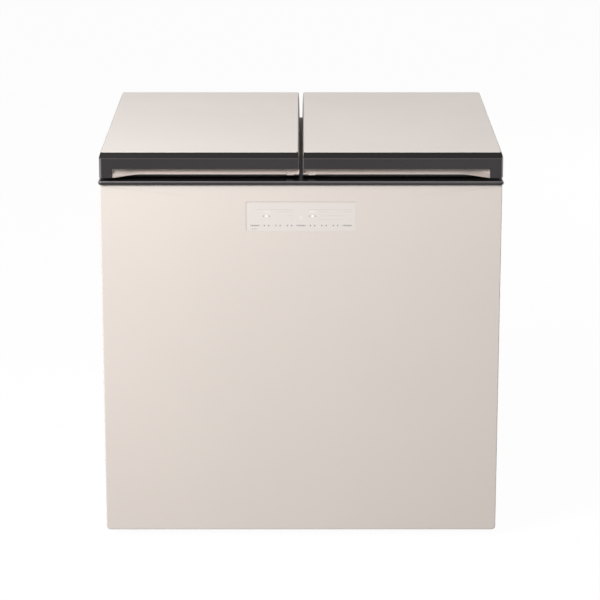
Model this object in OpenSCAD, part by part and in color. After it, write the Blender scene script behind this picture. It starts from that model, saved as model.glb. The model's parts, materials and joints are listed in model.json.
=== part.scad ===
// Chest-type kimchi refrigerator with two top-opening lids.
// Frame: +Z up, front towards -Y, origin on the floor under the middle of the cabinet's bounding box.
// All sizes are in millimetres.

/* [Cabinet] */
// Width over the two side panels
cabinet_w = 900; // [860:5:940]
// Depth from the front panel's face to the back panel's face
cabinet_d = 700; // [680:5:740]
// Height of the front panel's lower edge above the floor
floor_gap = 15; // [13:1:20]
// Height of the front panel
panel_h = 818; // [790:1:850]
// Thickness of the steel sheet of the panels
sheet_t = 1.2; // [0.8:0.1:1.6]
// Depth of the front panel's folded edge
panel_fold = 20; // [14:1:26]
// Radius of the front panel's lower corners
panel_r = 9; // [6:0.5:12]
// Radius of the front panel's upper corners
panel_top_r = 3; // [2:0.5:5]
// Width of the side panels' inward returns
side_return = 16; // [14:1:20]

/* [Compartments] */
// Insulation from the side panel's face to the compartment
side_wall = 62; // [60:1:66]
// Width of the partition between the two compartments
partition_w = 76; // [68:1:84]
// Insulation from the front panel's face to the compartment
front_wall = 62; // [58:1:70]
// Insulation from the compartment to the back panel's face
rear_wall = 78; // [74:1:86]
// Insulation between the deep front part and the machine compartment
machine_wall = 43; // [38:1:50]
// Height of the deep floor above the floor the cabinet stands on
deep_floor_z = 137; // [120:1:150]
// Height of the rear step above the deep floor
step_h = 205; // [195:1:215]
// Thickness of the compartment liners
liner_t = 1.5; // [1:0.1:2.5]
// Corner radius of the compartments
comp_r = 24; // [18:1:30]

/* [Rim] */
// Height of the rim frame, whose edge is a half round
rim_h = 12; // [10:0.5:14]
// How far the rim stands out over the front panel
rim_out = 6; // [5:0.5:7]
// How far the rim stands out over each side panel
rim_side = 3.5; // [3:0.5:6]

/* [Lids] */
// Gap between the rim and the closed lids
lid_gap = 6; // [5:0.5:7]
// Height of the lids from their lower edge to the top face
lid_h = 59; // [55:1:66]
// How far the lids stand out beyond the panels at the front and sides
lid_out = 1; // [0.5:0.5:2.5]
// Gap between the two lids at their lower edge
lid_parting = 7; // [6:0.5:9]
// How far the lids' back face lies in front of the back panel's face
lid_back_gap = 2; // [2:0.5:4]
// Wall thickness of the lid frame
lid_wall = 3; // [2.5:0.5:3.5]
// Height of the sloping band round the top of the lid frame
slope_h = 12; // [10:0.5:14]
// How far the slope leans back at the front
slope_front = 5; // [4:0.5:6]
// How far the slope leans in at the outer side
slope_side = 4; // [3:0.5:5]
// Thickness of the lid's top panel
top_t = 3; // [2.5:0.5:4]
// How far the top panel stands above the lid frame
top_proud = 1.5; // [1:0.25:2]
// Depth to which the lid's plug reaches into the compartment
plug_h = 31; // [24:1:40]
// Clearance of the plug in the compartment
plug_gap = 6; // [5:0.5:9]

/* [Lid grip] */
// Height of the recess under the front bar
grip_h = 20.5; // [18:0.5:24]
// Depth of the recess
grip_d = 22; // [18:1:26]
// Width of the pillar at the recess's outer end
pillar_w = 29; // [24:0.5:34]
// Height of the finger arch in the grip's lower edge
arch_h = 7; // [5:0.5:8]
// Length over which the arch rises
arch_run = 56; // [40:2:80]

/* [Display] */
// Width of the display window
display_w = 246; // [230:1:264]
// Height of the display window
display_h = 67.5; // [62:0.5:74]
// Distance from the front panel's upper edge to the window
display_drop = 37; // [32:1:46]
// Number of touch keys
touch_keys = 9; // [7:1:10]
// Pitch of the touch keys
key_pitch = 25.8; // [22:0.1:25.8]

/* [Machine compartment] */
// Depth of the machine compartment
machine_d = 222; // [214:1:234]
// Height of the machine compartment's ceiling
machine_top_z = 292; // [285:1:296]
// Distance of the compressor's middle from the left side panel's face
compressor_inset = 215; // [208:1:225]
// Radius of the compressor's shell
compressor_r = 80; // [70:1:84]
// Height of the compressor's shell
compressor_h = 165; // [150:1:175]
// Radius of the fan blades
fan_r = 72; // [60:1:76]
// Number of fan blades
fan_blades = 5; // [3:1:7]
// Number of condenser fins
fin_count = 16; // [10:1:20]

/* [Feet and rollers] */
// Radius of the levelling feet
foot_r = 19; // [15:1:22]
// Radius of the foot's screw
stud_r = 5; // [4:0.5:6]
// Radius of the rear rollers
roller_r = 18; // [16:1:20]
// Width of the rear rollers
roller_w = 20; // [16:1:24]
// Radius of the rollers' axles
axle_r = 4; // [3:0.5:5]

/* [Hinges] */
// Distance of the hinge axis behind the back panel's face
hinge_back = 8; // [8:0.5:9]
// Height of the hinge axis above the lids' lower edge
hinge_up = 11; // [10:0.5:14]
// Radius of the hinge knuckles
knuckle_r = 7; // [6:0.25:7.5]
// Radius of the hinge pins
pin_r = 3; // [2.5:0.25:3.5]
// Half the distance between a lid's two hinges
hinge_span = 130; // [100:5:150]
// Turns of each hinge spring
spring_turns = 4; // [3:1:6]

/* [Kimchi containers] */
// Gap between a container and the compartment's side walls
tub_gap = 6; // [5:0.5:14]
// Depth of a container
tub_d = 178; // [160:1:180]
// Height of a container without its lid
tub_h = 188; // [170:1:190]
// Wall of a container
tub_t = 2.4; // [2:0.2:3]

/* [Hidden] */

// Clearances
fit = 0.3;        // between parts that are fitted to each other
run_gap = 0.06;   // radial, of a pin or screw that turns in its hole
eps = 1;          // by which a cut runs past the face it opens

// Colours
beige = [0.87, 0.83, 0.79];
charcoal = [0.26, 0.24, 0.25];
steel = [0.72, 0.73, 0.74];
dark_steel = [0.10, 0.10, 0.11];
copper = [0.72, 0.45, 0.30];
white_plastic = [0.92, 0.92, 0.91];
foam_yellow = [0.93, 0.87, 0.66];
rubber_grey = [0.35, 0.35, 0.36];

// Main planes
rear_out = hinge_back + knuckle_r;                      // reach of the hinges behind the back panel
front_y = (rim_out - cabinet_d - rear_out) / 2;         // front panel's face
back_y = front_y + cabinet_d;                           // back panel's face
body_z = floor_gap + panel_h;                           // top edge of the panels
rim_z = body_z + rim_h;                                 // top face of the rim
lid_z = rim_z + lid_gap;                                // lower edge of the lids
top_z = lid_z + lid_h;                                  // top face of the lids
fold_y = front_y + panel_fold;                          // where the side panels begin

// Compartment planes
comp_x = cabinet_w / 2 - side_wall;                     // outer wall of a compartment
comp_in_x = partition_w / 2;                            // its wall towards the middle
machine_y = back_y - machine_d;                         // front of the machine compartment
machine_mid_y = (machine_y + back_y) / 2;
comp_y0 = front_y + front_wall;
comp_y1 = machine_y - machine_wall;                     // back of the deep part
comp_y2 = back_y - rear_wall;
tub_w = comp_x - comp_in_x - 2 * tub_gap;
step_z = deep_floor_z + step_h;
edge_r = comp_r / 2;                                    // radius of the floor's edges
flange_w = 12;                                          // liner's flange under the rim

// Base frame
base_t = 2;
base_z = floor_gap + 9;
base_top = base_z + base_t;
base_lip = 22;                                          // height of its folded edge
boss_h = 10;                                            // threaded boss of a foot
boss_wall = 6;
stud_top = base_z + boss_h + 8;
base_x = cabinet_w / 2 - sheet_t - fit;
base_y0 = fold_y + sheet_t + fit;
base_y1 = back_y - 2 * sheet_t - fit;
foot_x = cabinet_w / 2 - 60;
foot_y = front_y + 72;
roller_x = cabinet_w / 2 - 72;
roller_y = back_y - 62;

// Lid planes, for the left lid
lid_x0 = -cabinet_w / 2 - lid_out;
lid_x1 = -lid_parting / 2;
lid_y0 = front_y - lid_out;
lid_y1 = back_y - lid_back_gap;
frame_z = top_z - top_proud;                            // top of the lid frame
slope_z = frame_z - slope_h;                            // foot of the sloping band
bar_z = lid_z + grip_h;                                 // lower edge of the front bar
shelf_z = top_z - top_t;                                // underside of the top panel
shelf_t = 3;
inner_draft = 1;                                        // lean of the lids' inner side below the slope
slope_inner = 1.5;                                      // lean of the slope on the inner side
lid_corner_r = 7;
wall_back = grip_d + lid_wall;                          // front of the lid's cavity behind the grip
lid_mid_x = -(comp_x + comp_in_x) / 2;
plug_z = lid_z - plug_h;
lid_liner_t = 2.5;

// Hinges
hinge_y = back_y + hinge_back;
hinge_z = lid_z + hinge_up;
ear_in = 22;                                            // inner face of a bracket's ear from the hinge's middle
ear_w = 8;
leaf_t = 2;
arm_in = 11;                                            // inner face of an arm's knuckle
arm_out = 20;
bracket_low = hinge_z - 72;

// Display
display_z1 = body_z - display_drop;
display_z0 = display_z1 - display_h;
display_z = (display_z0 + display_z1) / 2;
key_z = display_z - 21.5;
board_y = front_y + 9;
board_t = 1.6;
window_t = 4;
window_inset = 0.5;
housing_d = 24;
housing_lip = 6;

// Evaporator
coil_h = 8;
coil_t = 6;
coil_rows = 6;
coil_pitch = 62;
coil_z = step_z + 60;
coil_break = 30;

// ---------------------------------------------------------------- helpers

// Points of an arc about c, from angle a to angle b
function arc(c, r, a, b, n = 6) =
    [for (i = [0 : n]) c + r * [cos(a + (b - a) * i / n), sin(a + (b - a) * i / n)]];

// Rectangle from p to q with rounded corners
function rounded(p, q, r, n = 6) = concat(
    arc([p.x + r, p.y + r], r, 180, 270, n), arc([q.x - r, p.y + r], r, 270, 360, n),
    arc([q.x - r, q.y - r], r, 0, 90, n), arc([p.x + r, q.y - r], r, 90, 180, n));

// Box between two corners
module span(p, q) translate(p) cube(q - p);

// Outline drawn in (y, z), carried along x
module along_x(x0, x1) translate([x0, 0, 0]) rotate([90, 0, 90]) linear_extrude(x1 - x0) children();

// Outline drawn in (x, z), carried along y
module along_y(y0, y1) translate([0, y1, 0]) rotate([90, 0, 0]) linear_extrude(y1 - y0) children();

// Outline drawn in (x, y), carried along z
module along_z(z0, z1) translate([0, 0, z0]) linear_extrude(z1 - z0) children();

// Cylinder along x from x0 to x1 about the point (y, z)
module rod_x(x0, x1, y, z, r) translate([x0, y, z]) rotate([0, 90, 0]) cylinder(r = r, h = x1 - x0, $fn = 48);

// Cylinder along y from y0 to y1 about the point (x, z)
module rod_y(y0, y1, x, z, r) translate([x, y0, z]) rotate([-90, 0, 0]) cylinder(r = r, h = y1 - y0, $fn = 48);

// Upright cylinder
module rod_z(z0, z1, x, y, r) translate([x, y, z0]) cylinder(r = r, h = z1 - z0, $fn = 48);

// The left-hand shape as it is, or turned into the right-hand one
module handed(side) mirror([side > 0 ? 1 : 0, 0, 0]) children();

// Corners of a route, rounded by short parabolas of reach r
function unit(v) = v / norm(v);
function eased(p, r, n = 4) = concat([p[0]],
    [for (i = [1 : len(p) - 2]) for (k = [0 : n])
        let (a = p[i] + unit(p[i - 1] - p[i]) * r, b = p[i + 1] - p[i], c = p[i] + unit(b) * r, t = k / n)
        (1 - t) * (1 - t) * a + 2 * t * (1 - t) * p[i] + t * t * c],
    [p[len(p) - 1]]);

// A normal that turns as little as possible from one ring of a tube to the next
function tangents(p) = [for (i = [0 : len(p) - 1])
    unit(p[min(i + 1, len(p) - 1)] - p[max(i - 1, 0)])];
function start_normal(t) = unit(cross(t, abs(t.z) < 0.9 ? [0, 0, 1] : [1, 0, 0]));
function normals(t) = [for (i = 0, n = start_normal(t[0]); i < len(t);
    i = i + 1, n = i < len(t) ? unit(n - (n * t[i]) * t[i]) : n) n];

// Round tube of radius r swept along the points p
module tube(p, r, sides = 8) {
    t = tangents(p);
    n = normals(t);
    m = len(p);
    rings = [for (i = [0 : m - 1]) for (k = [0 : sides - 1])
        let (a = 360 * k / sides) p[i] + r * (cos(a) * n[i] + sin(a) * cross(t[i], n[i]))];
    skin = [for (i = [0 : m - 2]) for (k = [0 : sides - 1])
        let (a = i * sides + k, b = i * sides + (k + 1) % sides) [a, a + sides, b + sides, b]];
    ends = [[for (k = [0 : sides - 1]) k], [for (k = [sides - 1 : -1 : 0]) (m - 1) * sides + k]];
    polyhedron(points = rings, faces = concat(skin, ends));
}

// ---------------------------------------------------------------- cabinet

// Outline of the front panel in (x, z), drawn in by g
function panel_outline(g) = let (x = cabinet_w / 2, r = panel_r - g, s = panel_top_r - g) concat(
    arc([-x + panel_r, floor_gap + panel_r], r, 180, 270), arc([x - panel_r, floor_gap + panel_r], r, 270, 360),
    arc([x - panel_top_r, body_z - panel_top_r], s, 0, 90, 3),
    arc([-x + panel_top_r, body_z - panel_top_r], s, 90, 180, 3));

// Steel front panel: a shallow pan with the window opening of the display
module front_panel() color(beige) difference() {
    along_y(front_y, fold_y) polygon(panel_outline(0));
    along_y(front_y + sheet_t, fold_y + eps) polygon(panel_outline(sheet_t));
    along_y(front_y - eps, fold_y) polygon(rounded(
        [-display_w / 2, display_z0], [display_w / 2, display_z1], 2, 3));
}

// Heights of the rear screws: three rows on the machine cover and three on the back panel
screw_rows = concat(
    [for (i = [0 : 2]) base_top + 30 + i * (machine_top_z - base_top - 60) / 2],
    [for (i = [0 : 2]) machine_top_z + 50 + i * (body_z - machine_top_z - 90) / 2]);
screw_x = cabinet_w / 2 - sheet_t - side_return / 2;
screw_r = 2;
bracket_screw_x = 13;
bracket_screw_z = bracket_low + 14;

// Middles of the hinges in x
hinge_xs = [for (side = [-1, 1], s = [-1, 1]) side * -lid_mid_x + s * hinge_span];

// Screws as [x, z, seat of the head in y]
screw_spots = concat(
    [for (sx = [-1, 1], z = screw_rows) [sx * screw_x, z, back_y]],
    [for (x = hinge_xs, sx = [-1, 1]) [x + sx * bracket_screw_x, bracket_screw_z, back_y + leaf_t]]);

module screw_holes(r) for (p = screw_spots) rod_y(back_y - 12, back_y + leaf_t + 1, p[0], p[1], r);

// Side panel, a sheet with a return behind the front panel and one behind the back panel
module side_panel(side) {
    x = cabinet_w / 2;
    xi = x - sheet_t;
    xr = xi - side_return;
    back_in = back_y - sheet_t;
    color(beige) difference() {
        handed(side) along_z(floor_gap, body_z) polygon([
            [-x, fold_y], [-xr, fold_y], [-xr, fold_y + sheet_t], [-xi, fold_y + sheet_t],
            [-xi, back_in - sheet_t], [-xr, back_in - sheet_t], [-xr, back_in], [-xi, back_in],
            [-xi, back_y], [-x, back_y]]);
        screw_holes(screw_r + run_gap);
    }
}

rib_w = 26;
rib_out = 2;
rib_count = 5;

// Back panel with pressed upright ribs
module back_panel() color(steel) difference() {
    union() {
        span([-base_x, back_y - sheet_t, machine_top_z + fit], [base_x, back_y, body_z]);
        for (i = [0 : rib_count - 1]) {
            x = (i - (rib_count - 1) / 2) * cabinet_w / (rib_count + 1);
            span([x - rib_w / 2, back_y - eps, machine_top_z + 60],
                [x + rib_w / 2, back_y + rib_out, body_z - 90]);
        }
    }
    for (i = [0 : rib_count - 1]) {
        x = (i - (rib_count - 1) / 2) * cabinet_w / (rib_count + 1);
        span([x - rib_w / 2 + sheet_t, back_y - sheet_t - eps, machine_top_z + 60 + sheet_t],
            [x + rib_w / 2 - sheet_t, back_y + rib_out - sheet_t, body_z - 90 - sheet_t]);
    }
    screw_holes(screw_r + run_gap);
}

slot_len = 64;
slot_h = 5;
slot_rows = 9;
slot_cols = 5;
slot_pitch = 17;

bush_x = -cabinet_w / 2 + 70;
bush_z = base_top + 44;
bush_bore_r = 4.5;
bush_neck_r = 9;

// Louvred cover over the machine compartment
module machine_cover() color(steel) difference() {
    span([-base_x, back_y - sheet_t, base_z], [base_x, back_y, machine_top_z]);
    for (i = [0 : slot_cols - 1], j = [0 : slot_rows - 1]) {
        x = (i - (slot_cols - 1) / 2) * (slot_len + 44) + 50;
        z = base_top + 60 + j * slot_pitch;
        span([x - slot_len / 2, back_y - sheet_t - eps, z], [x + slot_len / 2, back_y + eps, z + slot_h]);
    }
    rod_y(back_y - sheet_t - eps, back_y + eps, bush_x, bush_z, bush_neck_r);
    screw_holes(screw_r + run_gap);
}

// Pan-head screws that hold the back panel, the machine cover and the hinge brackets
module rear_screws() color(steel) for (p = screw_spots) {
    rod_y(back_y - 8, p[2] + fit, p[0], p[1], screw_r);
    rod_y(p[2], p[2] + 2.2, p[0], p[1], screw_r * 2.2);
}

// Moulded bush in the cover, where the power cord goes in
module power_bush() color(charcoal) difference() {
    union() {
        rod_y(back_y - sheet_t - 8, back_y + fit, bush_x, bush_z, bush_neck_r);
        rod_y(back_y, back_y + 4, bush_x, bush_z, bush_neck_r + 5);
        rod_y(back_y - sheet_t - 3, back_y - sheet_t, bush_x, bush_z, bush_neck_r + 3);
    }
    rod_y(back_y - 20, back_y + 10, bush_x, bush_z, bush_bore_r);
}

roller_slot_w = roller_w + 10;
roller_slot_d = 2 * roller_r + 8;
mount_dx = 84;
mount_dy = 62;
comp_cx = -cabinet_w / 2 + compressor_inset;                         // middle of the compressor

// Folded steel base pan with the feet's bosses and the rollers' slots
module base_frame() color(steel) difference() {
    union() {
        difference() {
            span([-base_x, base_y0, base_z], [base_x, base_y1, base_z + base_lip]);
            span([-base_x + base_t, base_y0 + base_t, base_top],
                [base_x - base_t, base_y1 - base_t, base_z + base_lip + eps]);
        }
        for (sx = [-1, 1]) rod_z(base_z, base_z + boss_h, sx * foot_x, foot_y, stud_r + boss_wall);
    }
    for (sx = [-1, 1]) {
        rod_z(base_z - eps, base_z + boss_h + eps, sx * foot_x, foot_y, stud_r + run_gap);
        span([sx * roller_x - roller_slot_w / 2, roller_y - roller_slot_d / 2, base_z - eps],
            [sx * roller_x + roller_slot_w / 2, roller_y + roller_slot_d / 2, base_top + eps]);
    }
}

// Steel step between the insulation and the machine compartment
module machine_bulkhead() color(steel) difference() {
    along_x(-base_x + base_t + fit, base_x - base_t - fit) polygon([
        [machine_y, base_top], [machine_y + sheet_t, base_top], [machine_y + sheet_t, machine_top_z - sheet_t],
        [base_y1, machine_top_z - sheet_t], [base_y1, machine_top_z], [machine_y, machine_top_z]]);
    for (side = [-1, 1]) handed(side) tail_space(fit);
}

// ---------------------------------------------------------------- compartments

// Side outline of a compartment in (y, z), grown by g, open at the top up to height top
function comp_profile(g, top) = concat(
    arc([comp_y0 + edge_r, deep_floor_z + edge_r], edge_r + g, 180, 270),
    arc([comp_y1 - edge_r, deep_floor_z + edge_r], edge_r + g, 270, 360),
    arc([comp_y1 + edge_r, step_z - edge_r], edge_r - g, 180, 90, 4),
    arc([comp_y2 - edge_r, step_z + edge_r], edge_r + g, 270, 360),
    [[comp_y2 + g, top], [comp_y0 - g, top]]);

// Plan of the left compartment, grown by g
function comp_plan(g) = rounded([-comp_x - g, comp_y0 - g], [-comp_in_x + g, comp_y2 + g], comp_r + g);

// Space of the left compartment, grown by g and open up to height top
module comp_space(g, top) intersection() {
    along_z(deep_floor_z - g - eps, top) polygon(comp_plan(g));
    along_x(-comp_x - g - eps, -comp_in_x + g + eps) polygon(comp_profile(g, top + eps));
}

// Liner of a compartment: a stepped tub with a flange under the rim
module liner(side) color(steel) handed(side) difference() {
    union() {
        comp_space(liner_t, body_z);
        along_z(body_z - liner_t, body_z) polygon(comp_plan(flange_w));
    }
    comp_space(0, body_z + eps);
}

// Rings of flat tube round the left liner, joined in a serpentine, drawn out by g all round
tail_x = -(comp_x + comp_in_x) / 2;                     // middle of the compartment's rear wall
function coil_side(i) = i % 2 == 0 ? -1 : 1;
module tail_space(g) {
    for (s = [-1, 1]) {
        y0 = comp_y2 + liner_t + (s > 0 ? 0 : coil_t);
        span([tail_x + s * (coil_break / 2 + coil_h / 2) - coil_h / 2 - g, y0 - g, machine_top_z - 18 - g],
            [tail_x + s * (coil_break / 2 + coil_h / 2) + coil_h / 2 + g, y0 + coil_t + g, coil_z + g]);
    }
}

// Tube wound round the liner: level rings, risers between them and two tails into the machine compartment
module evaporator(side) color(copper) handed(side) {
    last_z = coil_z + (coil_rows - 1) * coil_pitch;
    x_in = tail_x + coil_break / 2;
    x_out = tail_x - coil_break / 2;
    y0 = comp_y2 + liner_t;
    for (i = [0 : coil_rows - 1]) difference() {
        z = coil_z + i * coil_pitch;
        along_z(z, z + coil_h) difference() {
            polygon(comp_plan(liner_t + coil_t));
            polygon(comp_plan(liner_t));
        }
        span([x_out, y0 - eps, z - eps], [x_in, y0 + coil_t + eps, z + coil_h + eps]);
    }
    for (i = [0 : coil_rows - 2]) {
        x = coil_side(i) > 0 ? x_in : x_out - coil_h;
        z = coil_z + i * coil_pitch;
        span([x, y0, z], [x + coil_h, y0 + coil_t, z + coil_pitch + coil_h]);
    }
    span([x_in, y0, machine_top_z - 18], [x_in + coil_h, y0 + coil_t, coil_z + coil_h]);
    x_last = coil_side(coil_rows - 1) > 0 ? x_in : x_out - coil_h;
    span([x_last, y0, last_z], [x_last + coil_h, y0 + 2 * coil_t, last_z + coil_h]);
    span([min(x_last, x_out - coil_h), y0 + coil_t, last_z],
        [max(x_last + coil_h, x_out), y0 + 2 * coil_t, last_z + coil_h]);
    span([x_out - coil_h, y0 + coil_t, machine_top_z - 18], [x_out, y0 + 2 * coil_t, last_z + coil_h]);
}

// Room for the evaporator in the insulation, left side
module evaporator_space() {
    last_z = coil_z + (coil_rows - 1) * coil_pitch;
    along_z(coil_z - fit, last_z + coil_h + fit) polygon(comp_plan(liner_t + coil_t + fit));
    tail_space(fit);
    span([tail_x - coil_break / 2 - coil_h - fit, comp_y2, coil_z - fit],
        [tail_x + coil_break / 2 + coil_h + fit, comp_y2 + liner_t + 2 * coil_t + fit, last_z + coil_h + fit]);
}

// Foamed insulation round both liners
module cabinet_foam() color(foam_yellow) {
    x = cabinet_w / 2 - sheet_t - fit;
    top = body_z - max(sheet_t, liner_t) - fit;
    low = base_z + base_lip + fit;
    ret_x = cabinet_w / 2 - sheet_t - side_return - fit;
    difference() {
        union() {
            span([-x, front_y + sheet_t + fit, low], [x, back_y - sheet_t - fit, top]);
            span([-base_x + base_t + fit, base_y0 + base_t + fit, base_top + fit],
                [base_x - base_t - fit, machine_y - fit, low + fit]);
        }
        for (s = [-1, 1]) {
            cx = s * (ret_x + cabinet_w / 2) / 2;
            half = (cabinet_w / 2 - ret_x) / 2;
            span([cx - half, fold_y - fit, low - eps], [cx + half, fold_y + sheet_t + fit, top + eps]);
            span([cx - half, back_y - 2 * sheet_t - fit, low - eps], [cx + half, back_y, top + eps]);
        }
        screw_holes(screw_r + fit);
        for (s = [-1, 1]) rod_z(0, stud_top + 2, s * foot_x, foot_y, stud_r + boss_wall + fit);
        span([-x - eps, machine_y - fit, 0], [x + eps, back_y + eps, machine_top_z + fit]);
        for (side = [-1, 1]) handed(side) {
            comp_space(liner_t + fit, body_z);
            evaporator_space();
        }
        span([-housing_x - fit, front_y, housing_z0 - fit],
            [housing_x + fit, front_y + housing_d + fit, housing_z1 + fit]);
    }
}

// Half-round edge of the rim in a plane: across u from u0 to u1, rounded at u0 and, if both, at u1
function rim_profile(u0, u1, out, both) = let (r = rim_h / 2, m = body_z + r, k = out / r) concat(
    [for (p = arc([0, 0], r, 90, 270, 8)) [u0 + out + p.x * k, m + p.y]],
    both ? [for (p = arc([0, 0], r, 270, 450, 8)) [u1 - out + p.x * k, m + p.y]]
        : [[u1, body_z], [u1, rim_z]]);

bumper_x = 24;
bumper_w = 16;
bumper_h = 1.5;

rim_x = cabinet_w / 2 + rim_side;

// Rim frame round both openings, with a half-round edge and the bar between the lids
module rim_frame() color(charcoal) {
    difference() {
        intersection() {
            along_x(-rim_x, rim_x) polygon(rim_profile(front_y - rim_out, back_y, rim_out, false));
            along_y(front_y - rim_out - eps, back_y + eps)
                polygon(rim_profile(-rim_x, rim_x, rim_side, true));
        }
        for (side = [-1, 1]) handed(side) along_z(body_z - eps, rim_z + eps) polygon(comp_plan(0));
    }
    for (s = [-1, 1]) span([s * bumper_x - bumper_w / 2, front_y + 2, rim_z - eps],
        [s * bumper_x + bumper_w / 2, front_y + 14, rim_z + bumper_h]);
}

// ---------------------------------------------------------------- display

housing_x = display_w / 2 + housing_lip + 4;
housing_z0 = display_z0 - housing_lip - 4;
housing_z1 = display_z1 + housing_lip + 4;
lamp_r = 2.2;
lamp_xs = [-key_pitch * 3, key_pitch];
lamp_z = display_z + 1;

// Display window: a plate in the opening with a wider flange behind the sheet
module display_window() color(white_plastic) difference() {
    union() {
        along_y(front_y + window_inset, front_y + window_t) polygon(rounded(
            [-display_w / 2 + fit, display_z0 + fit], [display_w / 2 - fit, display_z1 - fit], 2, 3));
        span([-display_w / 2 - housing_lip, front_y + sheet_t + fit, display_z0 - housing_lip],
            [display_w / 2 + housing_lip, front_y + window_t, display_z1 + housing_lip]);
    }
    for (x = lamp_xs) rod_y(front_y - eps, front_y + window_t + eps, x, lamp_z, lamp_r + run_gap);
}

// Two light pipes that shine through the window
module display_lamps() color("white") for (x = lamp_xs)
    rod_y(front_y + window_inset, board_y, x, lamp_z, lamp_r);

// Circuit board behind the window
module display_board() color([0.10, 0.35, 0.20]) {
    board_back = board_y + board_t;
    span([-display_w / 2 + 6, board_y, display_z0 + 4], [display_w / 2 - 6, board_back, display_z1 - 4]);
    for (x = [-90, -30, 40])
        span([x, board_back - fit, display_z + 4], [x + 18, board_back + 2.5, display_z + 18]);
}

// Spring pads between the window and the board, one for each touch key
module touch_pads() color(steel) for (i = [0 : touch_keys - 1])
    rod_y(front_y + window_t, board_y, (i - (touch_keys - 1) / 2) * key_pitch, key_z, 5);

// Box behind the window that keeps the foam off the board
module display_housing() color(white_plastic) difference() {
    span([-housing_x, front_y + sheet_t + fit, housing_z0], [housing_x, front_y + housing_d, housing_z1]);
    span([-housing_x + 2, front_y, housing_z0 + 2], [housing_x - 2, front_y + housing_d - 2, housing_z1 - 2]);
}

// ---------------------------------------------------------------- lids

// Section of the left lid frame across the lid, in (x, z), drawn in by g
function lid_cross(g) = let (i = lid_x1 - g, o = lid_x0 + g) [
    [o, lid_z - eps], [o, slope_z], [o + slope_side, frame_z], [o + slope_side, frame_z + eps],
    [i - inner_draft - slope_inner, frame_z + eps], [i - inner_draft - slope_inner, frame_z],
    [i - inner_draft, slope_z], [i, lid_z - eps]];

// Plan of the left lid with rounded outer corners
function lid_plan() = let (r = lid_corner_r, s = 3) concat(
    arc([lid_x0 + r, lid_y0 + r], r, 180, 270), arc([lid_x1 - s, lid_y0 + s], s, 270, 360, 3),
    [[lid_x1, lid_y1]], arc([lid_x0 + r, lid_y1 - r], r, 90, 180));

// Outer shape of the left lid frame
module lid_shape() intersection() {
    along_y(lid_y0 - eps, lid_y1) polygon(lid_cross(0));
    along_x(lid_x0, lid_x1) polygon([
        [lid_y0, lid_z], [lid_y0, slope_z], [lid_y0 + slope_front, frame_z],
        [lid_y1, frame_z], [lid_y1, lid_z]]);
    along_z(lid_z, frame_z) polygon(lid_plan());
}

// Hollow of the left lid frame below its shelf, drawn in by g
module lid_cavity(g) {
    top = shelf_z - shelf_t - g;
    turn = slope_z - 4;
    y0 = lid_y0 + g;
    y1 = lid_y1 - lid_wall - g;
    x0 = lid_x0 + lid_wall + g;
    x1 = lid_x1 - lid_wall - g;
    intersection() {
        along_x(lid_x0, lid_x1) polygon([
            [y0 + wall_back, lid_z - 2 * eps], [y0 + wall_back, bar_z + lid_wall + g],
            [y0 + lid_wall, bar_z + lid_wall + g], [y0 + lid_wall, turn],
            [y0 + lid_wall + slope_front, top], [y1, top], [y1, lid_z - 2 * eps]]);
        along_y(lid_y0, lid_y1) polygon([
            [x0, lid_z - 2 * eps], [x0, turn], [x0 + slope_side, top],
            [x1 - inner_draft - slope_inner, top], [x1 - inner_draft, turn], [x1, lid_z - 2 * eps]]);
    }
}

// Outline of the top panel, grown by g
function top_plan(g) = rounded(
    [lid_x0 + slope_side + 1 - g, lid_y0 + slope_front + 1 - g],
    [lid_x1 - inner_draft - slope_inner - 1 + g, lid_y1 - 1 + g], max(5 + g, 2));
ledge = 12;

// Moulded frame round the lid, with the sloping band, front bar and pillar
module lid_frame(side) color(charcoal) handed(side) difference() {
    lid_shape();
    lid_cavity(0);
    along_z(shelf_z, top_z) polygon(top_plan(fit));
    along_z(shelf_z - shelf_t - eps, top_z) polygon(top_plan(-ledge));
    span([lid_x0 + pillar_w, lid_y0 - eps, lid_z - eps], [lid_x1 + eps, lid_y0 + grip_d, bar_z]);
}

// Beige top panel of a lid
module lid_panel(side) color(beige) handed(side) along_z(shelf_z, top_z) polygon(top_plan(0));

// Section of the grip in (y, z): a scoop from under the bar down to a lip at the front
scoop_in = 4;                                           // thickness behind the scoop
scoop_lip = 1.5;                                        // how far the lip lies behind the lid's front
scoop_n = 8;
function grip_section() =
    let (back = lid_y0 + grip_d - fit, y0 = lid_y0 + scoop_lip, y1 = back - scoop_in)
    let (z0 = lid_z + arch_h, z1 = bar_z - fit)
    concat([[back, lid_z], [back, z1]],
        [for (i = [0 : scoop_n]) let (a = 90 * i / scoop_n)
            [y1 - (y1 - y0) * (1 - cos(a)), z1 - (z1 - z0) * sin(a)]],
        [[y0, lid_z]]);

// Finger arch in (x, z): rises smoothly from the pillar and stops at a small tab near the parting
tab_w = bumper_w;
tab_h = 1.5;
arch_x0 = lid_x0 + pillar_w + 3;
arch_n = 12;
function arch_outline() = concat(
    [[arch_x0, lid_z - eps]],
    [for (i = [0 : arch_n])
        [arch_x0 + arch_run * i / arch_n, lid_z + arch_h * (1 - cos(180 * i / arch_n)) / 2]],
    [[-bumper_x - tab_w / 2, lid_z + arch_h], [-bumper_x - tab_w / 2, lid_z + arch_h - tab_h],
     [-bumper_x + tab_w / 2, lid_z + arch_h - tab_h], [-bumper_x + tab_w / 2, lid_z + arch_h],
     [lid_x1 + eps, lid_z + arch_h], [lid_x1 + eps, lid_z - eps]]);

// Beige grip moulding in the recess under the front bar
module lid_grip(side) color(beige) handed(side) difference() {
    along_x(lid_x0 + pillar_w + fit, lid_x1 - inner_draft) polygon(grip_section());
    along_y(lid_y0 - eps, lid_y0 + grip_d + eps) polygon(arch_outline());
}

// Plan of the plug, drawn in by g
function plug_plan(g) = comp_plan(-plug_gap - g);
lid_liner_y0 = lid_y0 + wall_back + fit;

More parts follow.
